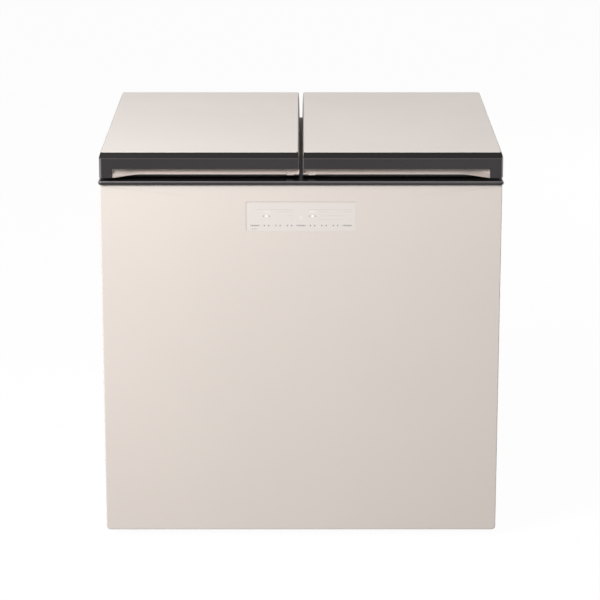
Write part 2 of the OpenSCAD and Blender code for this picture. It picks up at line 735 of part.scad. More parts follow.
// White lid liner: a plate that closes the lid, with a plug into the compartment
module lid_liner(side) color(white_plastic) handed(side) difference() {
    union() {
        span([lid_x0 + lid_wall + fit, lid_liner_y0, lid_z],
            [lid_x1 - lid_wall - fit, lid_y1 - lid_wall - fit, lid_z + lid_liner_t]);
        along_z(plug_z, lid_z + lid_liner_t) polygon(plug_plan(0));
    }
    along_z(plug_z + lid_liner_t, lid_z + lid_liner_t + eps) polygon(plug_plan(lid_liner_t));
}

// Foam filling of a lid
module lid_foam(side) color(foam_yellow) handed(side) {
    low = lid_z + lid_liner_t + fit;
    intersection() {
        lid_cavity(fit);
        span([lid_x0, lid_y0, low], [0, lid_y1, top_z]);
    }
    along_z(shelf_z - shelf_t - 2 * fit, shelf_z - fit) polygon(top_plan(-ledge - fit));
    along_z(plug_z + lid_liner_t + fit, low + fit) polygon(plug_plan(lid_liner_t + fit));
}

gasket_in = 8;
gasket_out = 24;

// Magnetic gasket: a base held by the lid liner and a wider sealing foot
module lid_gasket(side) color(rubber_grey) handed(side) {
    mid = (rim_z + lid_z) / 2;
    along_z(mid, lid_z) difference() {
        polygon(comp_plan(gasket_out - 3));
        polygon(comp_plan(gasket_in + 3));
    }
    along_z(rim_z + fit, mid + fit) difference() {
        polygon(comp_plan(gasket_out));
        polygon(comp_plan(gasket_in));
    }
}

// ---------------------------------------------------------------- hinges

module at_hinges(side) for (s = [-1, 1]) translate([side * -lid_mid_x + s * hinge_span, 0, 0]) children();

// Outline of an ear in (y, z): an upright foot on the panel and a round knuckle
module ear_outline() {
    translate([hinge_y, hinge_z]) circle(r = knuckle_r, $fn = 48);
    polygon([[back_y, bracket_low + 30], [back_y, rim_z + 1], [hinge_y - knuckle_r * 0.8, hinge_z],
        [hinge_y + knuckle_r * 0.9, hinge_z], [back_y + leaf_t + 4, bracket_low + 30]]);
}

// Steel hinge brackets on the back panel, two for each lid
module hinge_brackets() color(steel) for (side = [-1, 1]) at_hinges(side) difference() {
    union() {
        span([-ear_in - ear_w, back_y, bracket_low], [ear_in + ear_w, back_y + leaf_t, body_z]);
        for (x = [-ear_in - ear_w, ear_in]) along_x(x, x + ear_w) ear_outline();
    }
    rod_x(-ear_in - ear_w - eps, ear_in + ear_w + eps, hinge_y, hinge_z, pin_r);
    for (x = [-bracket_screw_x, bracket_screw_x])
        rod_y(back_y - eps, back_y + leaf_t + eps, x, bracket_screw_z, screw_r + run_gap);
}

// Hinge pins, held in the brackets
module hinge_pins() color(steel) for (side = [-1, 1]) at_hinges(side) {
    rod_x(-ear_in - ear_w - 1, ear_in + ear_w + 1, hinge_y, hinge_z, pin_r);
}

// Leaf on the lid's back wall with two knuckles between the bracket's ears
module hinge_arms(side) color(steel) at_hinges(side) difference() {
    union() {
        span([-arm_out, lid_y1, lid_z + 4], [arm_out, lid_y1 + leaf_t, slope_z]);
        for (s = [-1, 1]) {
            c = s * (arm_in + arm_out) / 2;
            half = (arm_out - arm_in) / 2;
            rod_x(c - half, c + half, hinge_y, hinge_z, knuckle_r - 0.5);
            span([c - half, lid_y1, hinge_z - 4], [c + half, hinge_y, hinge_z + 4]);
        }
    }
    rod_x(-arm_out - eps, arm_out + eps, hinge_y, hinge_z, pin_r + run_gap);
}

spring_r = pin_r + 1.2;
wire_r = 0.8;
spring_steps = 10;

// Route of a hinge spring: a leg down the bracket, the coil, and a leg up the lid's leaf
function spring_route() = let (n = spring_turns * spring_steps, half = arm_in - 2.2) concat(
    [[-half, hinge_y - spring_r, hinge_z - 20]],
    [for (i = [0 : n]) let (a = 180 + 360 * i / spring_steps)
        [-half + 2 * half * i / n, hinge_y + spring_r * cos(a), hinge_z - spring_r * sin(a)]],
    [[half, hinge_y - spring_r, hinge_z + 20]]);

// Torsion springs that carry most of the lid's weight
module hinge_springs(side) color(steel) at_hinges(side) tube(spring_route(), wire_r, 6);

// ---------------------------------------------------------------- machine compartment

plate_up = 20;
plate_z = base_top + plate_up;
plate_t = 3;
shell_z = plate_z + plate_t;
boss_up = 80;                                           // height of the terminal boss on the shell
boss_out = 8;

module at_mounts() for (sx = [-1, 1], sy = [-1, 1])
    translate([comp_cx + sx * mount_dx, machine_mid_y + sy * mount_dy, 0]) children();

// Hermetic compressor: a domed shell on its foot plate
module compressor() color(dark_steel) difference() {
    dome = 34;
    union() {
        translate([comp_cx, machine_mid_y, shell_z]) rotate_extrude($fn = 64) polygon(concat(
            [[0, 0], [compressor_r - 16, 0], [compressor_r - 4, 10]],
            [[compressor_r, 16], [compressor_r, compressor_h - dome]],
            [for (i = [1 : 6]) [compressor_r * cos(15 * i), compressor_h - dome + dome * sin(15 * i)]]));
        span([comp_cx - mount_dx - 20, machine_mid_y - mount_dy - 18, plate_z],
            [comp_cx + mount_dx + 20, machine_mid_y + mount_dy + 18, shell_z]);
        rod_y(machine_mid_y - compressor_r - boss_out, machine_mid_y, comp_cx, shell_z + boss_up, 14);
    }
    at_mounts() rod_z(plate_z - eps, shell_z + eps, 0, 0, grommet_neck);
}

grommet_neck = 9;
grommet_cap = 6;                                        // height of the mount above the foot plate
bolt_r = 4;
bolt_head = 5;

// Rubber mounts under the compressor's foot plate
module compressor_mounts() color(rubber_grey) at_mounts() difference() {
    union() {
        rod_z(base_top, plate_z, 0, 0, grommet_neck + 4);
        rod_z(base_top, shell_z + grommet_cap, 0, 0, grommet_neck - 0.1);
        rod_z(shell_z, shell_z + grommet_cap, 0, 0, grommet_neck + 3);
    }
    rod_z(base_z, shell_z + grommet_cap + eps, 0, 0, bolt_r + 0.2);
}

// Bolts through the rubber mounts
module compressor_bolts() color(steel) at_mounts() {
    rod_z(base_top, shell_z + grommet_cap + bolt_head / 2, 0, 0, bolt_r);
    translate([0, 0, shell_z + grommet_cap]) cylinder(r = 1.9 * bolt_r, h = bolt_head, $fn = 6);
}

// Cover of the compressor's starter, on its terminal boss
relay_w = 60;
relay_h = 56;
relay_gap = 6;                                          // gap to the bulkhead
module relay_cover() color(charcoal)
    span([comp_cx - relay_w / 2, machine_y + sheet_t + relay_gap, shell_z + boss_up - relay_h / 2],
        [comp_cx + relay_w / 2, machine_mid_y - compressor_r - boss_out, shell_z + boss_up + relay_h / 2]);

fan_x = 60;
fan_up = 118;                                           // height of the fan's axis above the base
fan_z = base_top + fan_up;
bracket_margin = 16;
bracket_half = fan_r + bracket_margin;

// Fan bracket: a plate with a round opening, on a foot, with three arms that hold the motor
module fan_bracket() color(charcoal) {
    y0 = machine_mid_y - bracket_half;
    y1 = machine_mid_y + bracket_half;
    difference() {
        span([fan_x - 3, y0, base_top], [fan_x, y1, fan_z + bracket_half]);
        rod_x(fan_x - 3 - eps, fan_x + eps, machine_mid_y, fan_z, fan_r + 5);
    }
    span([fan_x - 3, y0, base_top], [fan_x + 40, y1, base_top + 3]);
    for (a = [90, 210, 330]) {
        translate([fan_x, machine_mid_y, fan_z]) rotate([a, 0, 0])
            span([-fit, -5, motor_r + fit], [4, 5, fan_r + 12]);
        translate([fan_x, machine_mid_y, fan_z]) rotate([a, 0, 0])
            span([-fit, -5, motor_r + fit], [30, 5, motor_r + 4]);
    }
    difference() {
        rod_x(fan_x + 20, fan_x + 30, machine_mid_y, fan_z, motor_r + 4);
        rod_x(fan_x + 20 - eps, fan_x + 30 + eps, machine_mid_y, fan_z, motor_r);
    }
}

motor_r = 24;
shaft_r = 3;
hub_r = 16;
hub_w = 18;

// Fan motor with its shaft
module fan_motor() color(steel) {
    rod_x(fan_x + 8, fan_x + 44, machine_mid_y, fan_z, motor_r);
    rod_x(fan_x - 22, fan_x + 9, machine_mid_y, fan_z, shaft_r);
}

// Axial fan: a hub and pitched blades
module fan_blade() color(white_plastic) difference() {
    union() {
        rod_x(fan_x - 24, fan_x - 24 + hub_w, machine_mid_y, fan_z, hub_r);
        intersection() {
            for (i = [0 : fan_blades - 1]) translate([fan_x - 15, machine_mid_y, fan_z])
                rotate([360 / fan_blades * i, 0, 0]) rotate([0, 0, 34]) span([-1, -17, 8], [1, 17, fan_r + 8]);
            rod_x(fan_x - 40, fan_x + 10, machine_mid_y, fan_z, fan_r);
        }
    }
    rod_x(fan_x - 22 - fit, fan_x, machine_mid_y, fan_z, shaft_r + run_gap);
}

fin_x = fan_x + 90;
fin_w = 40;
fin_h = 186;
fin_z = base_top + 4;
fin_margin = 34;                                        // of the fins to the bulkhead
fin_y0 = machine_y + fin_margin;
fin_pitch = (machine_d - fin_margin - 50) / (fin_count - 1);
pass_n = 6;
pass_pitch = 30;
tube_r = 3.2;

// Condenser fins, a row of thin plates with holes for the tube
module condenser_fins() color(steel) {
    for (i = [0 : fin_count - 1]) along_y(fin_y0 + i * fin_pitch, fin_y0 + i * fin_pitch + 0.8) difference() {
        translate([fin_x - fin_w / 2, fin_z]) square([fin_w, fin_h]);
        for (k = [0 : pass_n - 1])
            translate([fin_x, fin_z + 18 + k * pass_pitch]) circle(r = tube_r + 0.05, $fn = 32);
    }
    for (z = [base_top, fin_z + fin_h]) span([fin_x - fin_w / 2, fin_y0, z],
        [fin_x + fin_w / 2, fin_y0 + (fin_count - 1) * fin_pitch + 0.8, z + 4]);
}

// Condenser tube: straight passes joined by return bends
module condenser_tube() color(copper) {
    y0 = fin_y0 - 8;
    y1 = fin_y0 + (fin_count - 1) * fin_pitch + 8.8;
    for (k = [0 : pass_n - 1]) rod_y(y0, y1, fin_x, fin_z + 18 + k * pass_pitch, tube_r);
    for (k = [0 : pass_n - 2]) {
        end = k % 2 == 0 ? 1 : -1;
        translate([fin_x, end > 0 ? y1 : y0, fin_z + 18 + (k + 0.5) * pass_pitch])
            rotate([90, 0, 90]) rotate([0, 0, end > 0 ? -90 : 90])
            rotate_extrude(angle = 180, $fn = 32) translate([pass_pitch / 2, 0]) circle(r = tube_r, $fn = 32);
    }
}

drier_x = -30;
drier_y = machine_y + 26;
drier_z = base_top + 60;
drier_r = 9;
drier_l = 90;

// Filter drier: a copper can with tapered ends
module filter_drier() color(copper) translate([drier_x, drier_y, drier_z]) rotate_extrude($fn = 48)
    polygon([[0, 0], [tube_r, 0], [tube_r, 8], [drier_r, 18], [drier_r, drier_l - 18],
        [tube_r, drier_l - 8], [tube_r, drier_l], [0, drier_l]]);

// Pipes, each a route through the machine compartment
line_r = 3;
module refrigerant_lines() color(copper) {
    low_z = fin_z + 18;
    top_pass_z = low_z + (pass_n - 1) * pass_pitch;
    near_y = comp_y2 + liner_t + coil_t / 2;
    far_y = near_y + coil_t;
    tail_dx = coil_break / 2 + coil_h / 2;
    tail_end = machine_top_z - 18;
    gas_x = comp_cx + compressor_r + 30;
    gas_z = shell_z + 40;
    back_row = machine_y + 18;
    roof_1 = tail_end - 16;
    roof_2 = tail_end - 10;
    roof_3 = tail_end - 28;
    left_x = tail_x + tail_dx;
    right_x = -tail_x - tail_dx;
    far_x = tail_dx - tail_x;
    // compressor to condenser
    tube(eased([[comp_cx + compressor_r, machine_mid_y, gas_z], [gas_x, machine_mid_y, gas_z], [gas_x, back_row, gas_z],
        [gas_x, back_row, low_z], [fin_x, back_row, low_z], [fin_x, fin_y0 - 8, low_z]], 6), line_r);
    // condenser to drier
    tube(eased([[fin_x, fin_y0 - 8, top_pass_z], [fin_x, back_row - 4, top_pass_z],
        [drier_x + 24, back_row - 4, top_pass_z], [drier_x + 24, back_row - 4, drier_z - 14],
        [drier_x, drier_y, drier_z - 14], [drier_x, drier_y, drier_z]], 6), line_r);
    // drier to the left evaporator
    tube(eased([[drier_x, drier_y, drier_z + drier_l], [drier_x, drier_y, roof_1], [left_x, drier_y, roof_1],
        [left_x, near_y, roof_1], [left_x, near_y, tail_end]], 7), line_r);
    // left evaporator to the right one
    tube(eased([[-far_x, far_y, tail_end], [-far_x, far_y, roof_2], [-far_x, far_y + 16, roof_2],
        [far_x, far_y + 16, roof_2], [far_x, far_y, roof_2], [far_x, far_y, tail_end]], 4), line_r);
    // right evaporator back to the compressor
    tube(eased([[right_x, near_y, tail_end], [right_x, near_y, roof_3], [right_x, machine_mid_y + 20, roof_3],
        [comp_cx, machine_mid_y + 20, roof_3], [comp_cx, machine_mid_y, roof_3],
        [comp_cx, machine_mid_y, shell_z + compressor_h]], 6), line_r);
}

// Box of the main circuit board on the base, with its lid
board_box_x = cabinet_w / 2 - 165;
board_box_w = 70;
board_box_d = 140;
board_box_h = 30;
board_box_lip = 4;
module main_board_box() color(white_plastic) {
    x0 = board_box_x - board_box_w / 2;
    y0 = machine_y + 30;
    span([x0, y0, base_top], [x0 + board_box_w, y0 + board_box_d, base_top + board_box_h]);
    span([x0 - board_box_lip, y0 - board_box_lip, base_top + board_box_h],
        [x0 + board_box_w + board_box_lip, y0 + board_box_d + board_box_lip,
            base_top + board_box_h + board_box_lip]);
}

// ---------------------------------------------------------------- feet and rollers

// Levelling foot: a round pad, a hexagon for the spanner and the screw in the base's boss
module levelling_foot(side) color(charcoal) translate([side * foot_x, foot_y, 0]) {
    rotate_extrude($fn = 48) polygon([[0, 0], [foot_r, 0], [foot_r, 4], [foot_r - 5, 8], [0, 8]]);
    translate([0, 0, 7]) cylinder(r = stud_r + 4, h = 7, $fn = 6);
    rod_z(0, stud_top, 0, 0, stud_r);
}

ear_t = 2;
fork_d = 28;                                            // depth of a roller's fork
fork_z0 = roller_r - 9;
fork_z1 = 2 * roller_r + 3;
fork_foot = 18;                                         // width of its feet on the base
roller_side = roller_w / 2 + 1;

// Steel forks that straddle the rear rollers
module roller_brackets() color(steel) for (s = [-1, 1]) translate([s * roller_x, roller_y, 0]) difference() {
    outer = roller_side + ear_t;
    union() {
        span([-outer, -fork_d / 2, fork_z1], [outer, fork_d / 2, fork_z1 + ear_t]);
        for (x = [-outer, roller_side])
            span([x, -fork_d / 2, fork_z0], [x + ear_t, fork_d / 2, fork_z1 + ear_t]);
        for (x = [-roller_side - fork_foot, roller_side])
            span([x, -fork_d / 2, base_top], [x + fork_foot, fork_d / 2, base_top + ear_t]);
    }
    rod_x(-outer - eps, outer + eps, 0, roller_r, axle_r);
}

// Axles of the rear rollers, riveted into the forks
rivet_t = 1.5;
module roller_axles() color(steel) for (s = [-1, 1]) translate([s * roller_x, roller_y, 0]) {
    outer = roller_side + ear_t;
    rod_x(-outer, outer, 0, roller_r, axle_r);
    for (x = [-outer - rivet_t, outer]) rod_x(x, x + rivet_t, 0, roller_r, axle_r + 2);
}

// Rear roller
module roller(side) color(charcoal) translate([side * roller_x, roller_y, 0]) difference() {
    rod_x(-roller_w / 2, roller_w / 2, 0, roller_r, roller_r);
    rod_x(-roller_w / 2 - eps, roller_w / 2 + eps, 0, roller_r, axle_r + run_gap);
    for (k = [-1, 1]) difference() {
        rod_x(k * roller_w / 2 - 2, k * roller_w / 2 + 2, 0, roller_r, roller_r - 4);
        rod_x(k * roller_w / 2 - 3, k * roller_w / 2 + 3, 0, roller_r, axle_r + 3);
    }
}

// ---------------------------------------------------------------- kimchi containers

tub_foot = 3;                                           // height of its four feet
tub_z = deep_floor_z + fit + tub_foot;
tub_y0 = comp_y0 + tub_gap;
tub_lip = 3;                                            // rim that stands out round the tub's mouth
tub_r = 22;
lid_skirt = 11;
tub_lid_t = 2.4;

// Plan of the left container, grown by g
function tub_plan(g) = rounded([lid_mid_x - tub_w / 2 - g, tub_y0 - g],
    [lid_mid_x + tub_w / 2 + g, tub_y0 + tub_d + g], max(tub_r + g, 4));

// Container: a rounded tub on four feet with a lip round its mouth
module tub(side) color([0.60, 0.57, 0.54]) handed(side) difference() {
    union() {
        for (x = [-1, 1], y = [tub_r, tub_d - tub_r])
            rod_z(tub_z - tub_foot, tub_z + eps, lid_mid_x + x * (tub_w / 2 - tub_r), tub_y0 + y, tub_r / 2);
        along_z(tub_z, tub_z + tub_h) polygon(tub_plan(-tub_lip));
        along_z(tub_z + tub_h - 5, tub_z + tub_h) polygon(tub_plan(-0.6));
        along_z(tub_z + tub_h - 40, tub_z + tub_h - 36) polygon(tub_plan(-0.6));
    }
    along_z(tub_z + tub_t, tub_z + tub_h + eps) polygon(tub_plan(-tub_lip - tub_t));
}

// Container lid: a plate with a skirt over the tub's lip and a raised panel
module tub_lid(side) color([0.80, 0.79, 0.77]) handed(side) {
    z = tub_z + tub_h + fit;
    difference() {
        along_z(z - lid_skirt, z + tub_lid_t) polygon(tub_plan(tub_lid_t));
        along_z(z - lid_skirt - eps, z) polygon(tub_plan(-fit));
        along_z(z + tub_lid_t - 1, z + tub_lid_t + eps) polygon(tub_plan(-12));
    }
    along_z(z + tub_lid_t - 1 - fit, z + tub_lid_t + 2) difference() {
        polygon(tub_plan(-30));
        polygon(tub_plan(-34));
    }
}

// ---------------------------------------------------------------- drawing

front_panel();
side_panel(-1);  // side_panel_left
side_panel(1);  // side_panel_right
back_panel();
base_frame();
machine_bulkhead();
machine_cover();
rear_screws();
cabinet_foam();
liner(-1);  // liner_left
liner(1);  // liner_right
evaporator(-1);  // evaporator_left
evaporator(1);  // evaporator_right
rim_frame();
display_window();
display_lamps();
display_board();
display_housing();
touch_pads();
hinge_brackets();
hinge_pins();
compressor();
compressor_mounts();
compressor_bolts();
relay_cover();
condenser_fins();
condenser_tube();
fan_bracket();
fan_motor();
fan_blade();
filter_drier();
refrigerant_lines();
main_board_box();
power_bush();
roller_brackets();
roller_axles();
roller(-1);  // roller_left
roller(1);  // roller_right
levelling_foot(-1);  // levelling_foot_left
levelling_foot(1);  // levelling_foot_right
lid_panel(-1);  // lid_panel_left
lid_panel(1);  // lid_panel_right
lid_frame(-1);  // lid_frame_left
lid_frame(1);  // lid_frame_right
lid_grip(-1);  // lid_grip_left
lid_grip(1);  // lid_grip_right
lid_liner(-1);  // lid_liner_left
lid_liner(1);  // lid_liner_right
lid_foam(-1);  // lid_foam_left
lid_foam(1);  // lid_foam_right
lid_gasket(-1);  // lid_gasket_left
lid_gasket(1);  // lid_gasket_right
hinge_arms(-1);  // hinge_arms_left
hinge_arms(1);  // hinge_arms_right
hinge_springs(-1);  // hinge_springs_left
hinge_springs(1);  // hinge_springs_right
tub(-1);  // tub_left
tub(1);  // tub_right
tub_lid(-1);  // tub_lid_left
tub_lid(1);  // tub_lid_right
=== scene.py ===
# Looks of a chest-type kimchi refrigerator with two top-opening lids. Lengths are in metres, in the part's own frame.
import json
import math

import bmesh
import bpy
import numpy as np
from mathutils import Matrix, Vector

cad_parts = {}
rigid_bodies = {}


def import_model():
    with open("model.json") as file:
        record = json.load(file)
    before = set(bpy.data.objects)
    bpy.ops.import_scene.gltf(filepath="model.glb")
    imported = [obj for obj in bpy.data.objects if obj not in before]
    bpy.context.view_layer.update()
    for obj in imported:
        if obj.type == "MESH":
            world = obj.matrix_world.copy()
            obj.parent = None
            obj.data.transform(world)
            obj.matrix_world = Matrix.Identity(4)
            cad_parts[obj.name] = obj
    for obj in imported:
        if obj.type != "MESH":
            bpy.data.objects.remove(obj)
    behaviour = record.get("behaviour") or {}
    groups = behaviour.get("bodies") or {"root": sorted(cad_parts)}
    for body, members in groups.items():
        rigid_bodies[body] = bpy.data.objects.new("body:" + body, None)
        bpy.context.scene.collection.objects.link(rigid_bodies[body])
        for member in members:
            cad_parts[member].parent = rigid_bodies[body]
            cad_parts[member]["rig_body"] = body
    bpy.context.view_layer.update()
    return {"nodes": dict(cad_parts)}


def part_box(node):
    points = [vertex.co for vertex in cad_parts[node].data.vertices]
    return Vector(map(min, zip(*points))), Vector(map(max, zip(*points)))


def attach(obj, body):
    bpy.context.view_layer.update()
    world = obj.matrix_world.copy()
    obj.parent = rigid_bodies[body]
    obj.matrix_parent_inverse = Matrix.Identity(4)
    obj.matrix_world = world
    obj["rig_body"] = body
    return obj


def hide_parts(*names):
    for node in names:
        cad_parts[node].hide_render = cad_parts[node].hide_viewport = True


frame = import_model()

MM = 0.001

# ---------------------------------------------------------------- camera and lamps

CAMERA_TILT = 14.14  # degrees below level


def add(name, data):
    """A new object with the given data, linked into the scene."""
    made = bpy.data.objects.new(name, data)
    bpy.context.scene.collection.objects.link(made)
    return made


def make_camera():
    """Camera in front of the chest, a little above it, looking slightly down."""
    data = bpy.data.cameras.new("camera")
    data.lens = 143.2
    data.sensor_width = 36
    data.shift_x = -0.0017
    data.shift_y = -0.1307
    data.clip_end = 100
    camera = add("camera", data)
    camera.location = (0, -5.543, 2.058)
    camera.rotation_euler = (math.radians(90 - CAMERA_TILT), 0, 0)
    bpy.context.scene.camera = camera


def make_lamp(name, place, target, size, power, colour):
    """Square soft lamp that stands at a place and is turned towards a target."""
    data = bpy.data.lights.new(name, "AREA")
    data.size = size
    data.energy = power
    data.color = colour
    lamp = add(name, data)
    lamp.visible_camera = False
    lamp.location = place
    dx, dy, dz = np.subtract(target, place)
    lamp.rotation_euler = (math.atan2(math.hypot(dx, dy), -dz), 0, math.atan2(dy, dx) - math.pi / 2)


# ---------------------------------------------------------------- node trees


def node(tree, kind, inputs=(), **settings):
    """Adds a shader node; an input is a value or the socket that feeds it, and a colour is three numbers."""
    made = tree.nodes.new("ShaderNode" + kind)
    for key, value in settings.items():
        setattr(made, key, value)
    for key, value in dict(inputs).items():
        if isinstance(value, bpy.types.NodeSocket):
            tree.links.new(value, made.inputs[key])
        else:
            made.inputs[key].default_value = (*value, 1) if made.inputs[key].type == "RGBA" else value
    return made


def calc(tree, operation, *values):
    """Output of a Math node on up to three values or sockets."""
    return node(tree, "Math", dict(enumerate(values)), operation=operation).outputs[0]


def both(tree, first, *others):
    """Product of masks: 1 where all of them are."""
    for mask in others:
        first = calc(tree, "MULTIPLY", first, mask)
    return first


def either(tree, first, *others):
    """Largest of masks: 1 where any of them is."""
    for mask in others:
        first = calc(tree, "MAXIMUM", first, mask)
    return first


def below(tree, value, limit):
    """1 where a value is under the limit, else 0."""
    return calc(tree, "LESS_THAN", value, limit)


def above(tree, value, limit):
    """1 where a value is over the limit, else 0."""
    return calc(tree, "GREATER_THAN", value, limit)


def within(tree, value, middle, half):
    """1 where a value lies within half of the middle, else 0."""
    return calc(tree, "COMPARE", value, middle, half)


def spread(tree, value, low, high, to_low=0.0, to_high=1.0):
    """Output of a clamped linear map from one range to another."""
    return node(tree, "MapRange", {0: value, 1: low, 2: high, 3: to_low, 4: to_high}).outputs[0]


def mixed(tree, factor, a, b):
    """Colour a where the factor is 0, colour b where it is 1."""
    return node(tree, "Mix", {0: factor, 6: a, 7: b}, data_type="RGBA").outputs[2]


def place_of(tree, stretch=None):
    """The point on the surface in the part's frame, stretched along the axes where asked."""
    point = node(tree, "TexCoord").outputs["Object"]
    return point if stretch is None else node(tree, "Mapping", {"Vector": point, "Scale": stretch}).outputs[0]


def axes(tree):
    """The point's three coordinates."""
    return node(tree, "SeparateXYZ", {0: place_of(tree)}).outputs


def noise(tree, size, detail=2.0, stretch=None, **inputs):
    """Outputs of soft noise with about so many waves to the metre."""
    inputs = {"Vector": place_of(tree, stretch), "Scale": size, "Detail": detail, **inputs}
    return node(tree, "TexNoise", inputs).outputs


def cells(tree, size):
    """Distance from the middle of round cells, about so many to the metre."""
    return node(tree, "TexVoronoi", {"Vector": place_of(tree), "Scale": size}).outputs["Distance"]


def bumped(tree, height, depth, **settings):
    """Normal of a surface that is raised by a height times a depth in metres."""
    return node(tree, "Bump", {"Strength": 1.0, "Distance": depth, "Height": height}, **settings).outputs[0]


def from_middle(tree, u, v):
    """Distance of the point u, v from the middle: the root of the sum of the squares."""
    return calc(tree, "SQRT", calc(tree, "ADD", both(tree, u, u), both(tree, v, v)))


def effect(name, inputs, outputs):
    """An empty node group with named sockets: returns it, its inputs and its outputs."""
    tree = bpy.data.node_groups.new(name, "ShaderNodeTree")
    for label, kind, value in inputs:
        tree.interface.new_socket(label, in_out="INPUT", socket_type="NodeSocket" + kind).default_value = value
    for label, kind in outputs:
        tree.interface.new_socket(label, in_out="OUTPUT", socket_type="NodeSocket" + kind)
    return tree, tree.nodes.new("NodeGroupInput").outputs, tree.nodes.new("NodeGroupOutput").inputs


def varied(tree, given, pick, low, high):
    """The group's colour, made darker to lighter by its spread as a value runs from low to high."""
    value = spread(tree, pick, low, high, calc(tree, "SUBTRACT", 1.0, given["Spread"]),
                   calc(tree, "ADD", 1.0, given["Spread"]))
    return node(tree, "HueSaturation", {"Value": value, "Color": given["Colour"]}).outputs[0]


def tone_drift():
    """Slow change of brightness over a surface, as between two lots of paint or resin."""
    tree, given, out = effect("tone drift", [("Colour", "Color", (1, 1, 1, 1)), ("Spread", "Float", 0.02),
                                             ("Size", "Float", 3.0)], [("Colour", "Color")])
    tree.links.new(varied(tree, given, noise(tree, given["Size"], 3.0)[0], 0.3, 0.7), out["Colour"])
    return tree


def fine_relief():
    """Shallow random relief: the orange peel of paint, or cast plastic."""
    tree, given, out = effect("fine relief", [("Size", "Float", 300.0), ("Depth", "Float", 1e-5)],
                              [("Normal", "Vector")])
    tree.links.new(bumped(tree, noise(tree, given["Size"])[0], given["Depth"]), out["Normal"])
    return tree


def moulded_grain():
    """Etched grain of a moulded piece: small pebbles with soft valleys between them."""
    tree, given, out = effect("moulded grain", [("Size", "Float", 900.0), ("Depth", "Float", 3e-5),
                                                ("Smooth", "Float", 0.4), ("Coarse", "Float", 0.5)],
                              [("Normal", "Vector"), ("Roughness", "Float")])
    pebbles = node(tree, "TexVoronoi", {"Vector": place_of(tree), "Scale": given["Size"], "Smoothness": 0.8},
                   feature="SMOOTH_F1").outputs["Distance"]
    tree.links.new(bumped(tree, pebbles, given["Depth"], invert=True), out["Normal"])
    tree.links.new(spread(tree, pebbles, 0.1, 0.7, given["Smooth"], given["Coarse"]), out["Roughness"])
    return tree


def handled():
    """Roughness with the faint clouds that wiping and handling leave."""
    tree, given, out = effect("handled", [("Low", "Float", 0.3), ("High", "Float", 0.4), ("Size", "Float", 7.0)],
                              [("Roughness", "Float")])
    clouds = noise(tree, given["Size"], 4.0, Distortion=0.6)[0]
    tree.links.new(spread(tree, clouds, 0.35, 0.65, given["Low"], given["High"]), out["Roughness"])
    return tree


def zinc_flowers():
    """Crystals of hot-dip zinc: each cell, its edge bent by noise, has its own brightness and gloss."""
    tree, given, out = effect("zinc flowers", [("Colour", "Color", (0.6, 0.61, 0.62, 1)), ("Size", "Float", 110.0),
                                               ("Spread", "Float", 0.12)],
                              [("Colour", "Color"), ("Roughness", "Float")])
    bend = (0.012, 0.012, 0.012)
    bent = node(tree, "VectorMath", {0: noise(tree, 60.0)["Color"], 1: bend, 2: place_of(tree)},
                operation="MULTIPLY_ADD").outputs[0]
    crystals = node(tree, "TexVoronoi", {"Vector": bent, "Scale": given["Size"]}).outputs["Color"]
    pick = node(tree, "SeparateColor", {0: crystals}).outputs
    tree.links.new(varied(tree, given, pick[0], 0.0, 1.0), out["Colour"])
    tree.links.new(spread(tree, pick[1], 0.0, 1.0, 0.40, 0.46), out["Roughness"])
    return tree


def drawn_lines():
    """Fine lines along one direction, as on drawn or turned metal."""
    tree, given, out = effect("drawn lines", [("Stretch", "Vector", (1500, 1500, 30)), ("Depth", "Float", 4e-6),
                                              ("Low", "Float", 0.22), ("High", "Float", 0.42)],
                              [("Normal", "Vector"), ("Roughness", "Float")])
    lines = noise(tree, 1.0, 3.0, given["Stretch"])[0]
    tree.links.new(bumped(tree, lines, given["Depth"]), out["Normal"])
    tree.links.new(spread(tree, lines, 0.3, 0.7, given["Low"], given["High"]), out["Roughness"])
    return tree


EFFECTS = {made.name: made for made in (tone_drift(), fine_relief(), moulded_grain(), handled(), zinc_flowers(),
                                        drawn_lines())}


def put(tree, name, **inputs):
    """Places an effect in a material with its own values; returns its outputs."""
    return node(tree, "Group", inputs, node_tree=EFFECTS[name]).outputs


def drifting(tree, colour, amount, size):
    """A colour with a slow change of brightness."""
    return put(tree, "tone drift", Colour=colour, Spread=amount, Size=size)["Colour"]


def wiped(tree, low, high, size):
    """Roughness between low and high in faint clouds."""
    return put(tree, "handled", Low=low, High=high, Size=size)["Roughness"]


def relief(tree, size, depth):
    """Normal of a shallow random relief."""
    return put(tree, "fine relief", Size=size, Depth=depth)["Normal"]


# ---------------------------------------------------------------- finishes


def finish(name, colour, roughness=0.5, metal=0.0, **sockets):
    """A new material: returns it, its tree and its surface shader."""
    material = bpy.data.materials.new(name)
    material.use_nodes = True
    tree = material.node_tree
    tree.nodes.clear()
    shader = node(tree, "BsdfPrincipled", {"Base Color": colour, "Roughness": roughness, "Metallic": metal})
    for key, value in sockets.items():
        shader.inputs[key.replace("_", " ")].default_value = value
    node(tree, "OutputMaterial", {"Surface": shader.outputs[0]})
    return material, tree, shader


def feed(tree, shader, **sources):
    """Joins effect outputs to the shader's sockets."""
    for key, source in sources.items():
        tree.links.new(source, shader.inputs[key.replace("_", " ")])


BEIGE = (0.700, 0.644, 0.603)
BEIGE_FILM = (0.722, 0.678, 0.650)
GRIP = (0.590, 0.515, 0.470)
# Painted shade for the grip's outer ends.
GRIP_PAINTED_SHADE = (0.450, 0.393, 0.358)
CHARCOAL = (0.019, 0.0155, 0.0175)
RIM = (0.0145, 0.0124, 0.0132)
LINER = (0.74, 0.745, 0.75)
RESIN = (0.60, 0.565, 0.53)


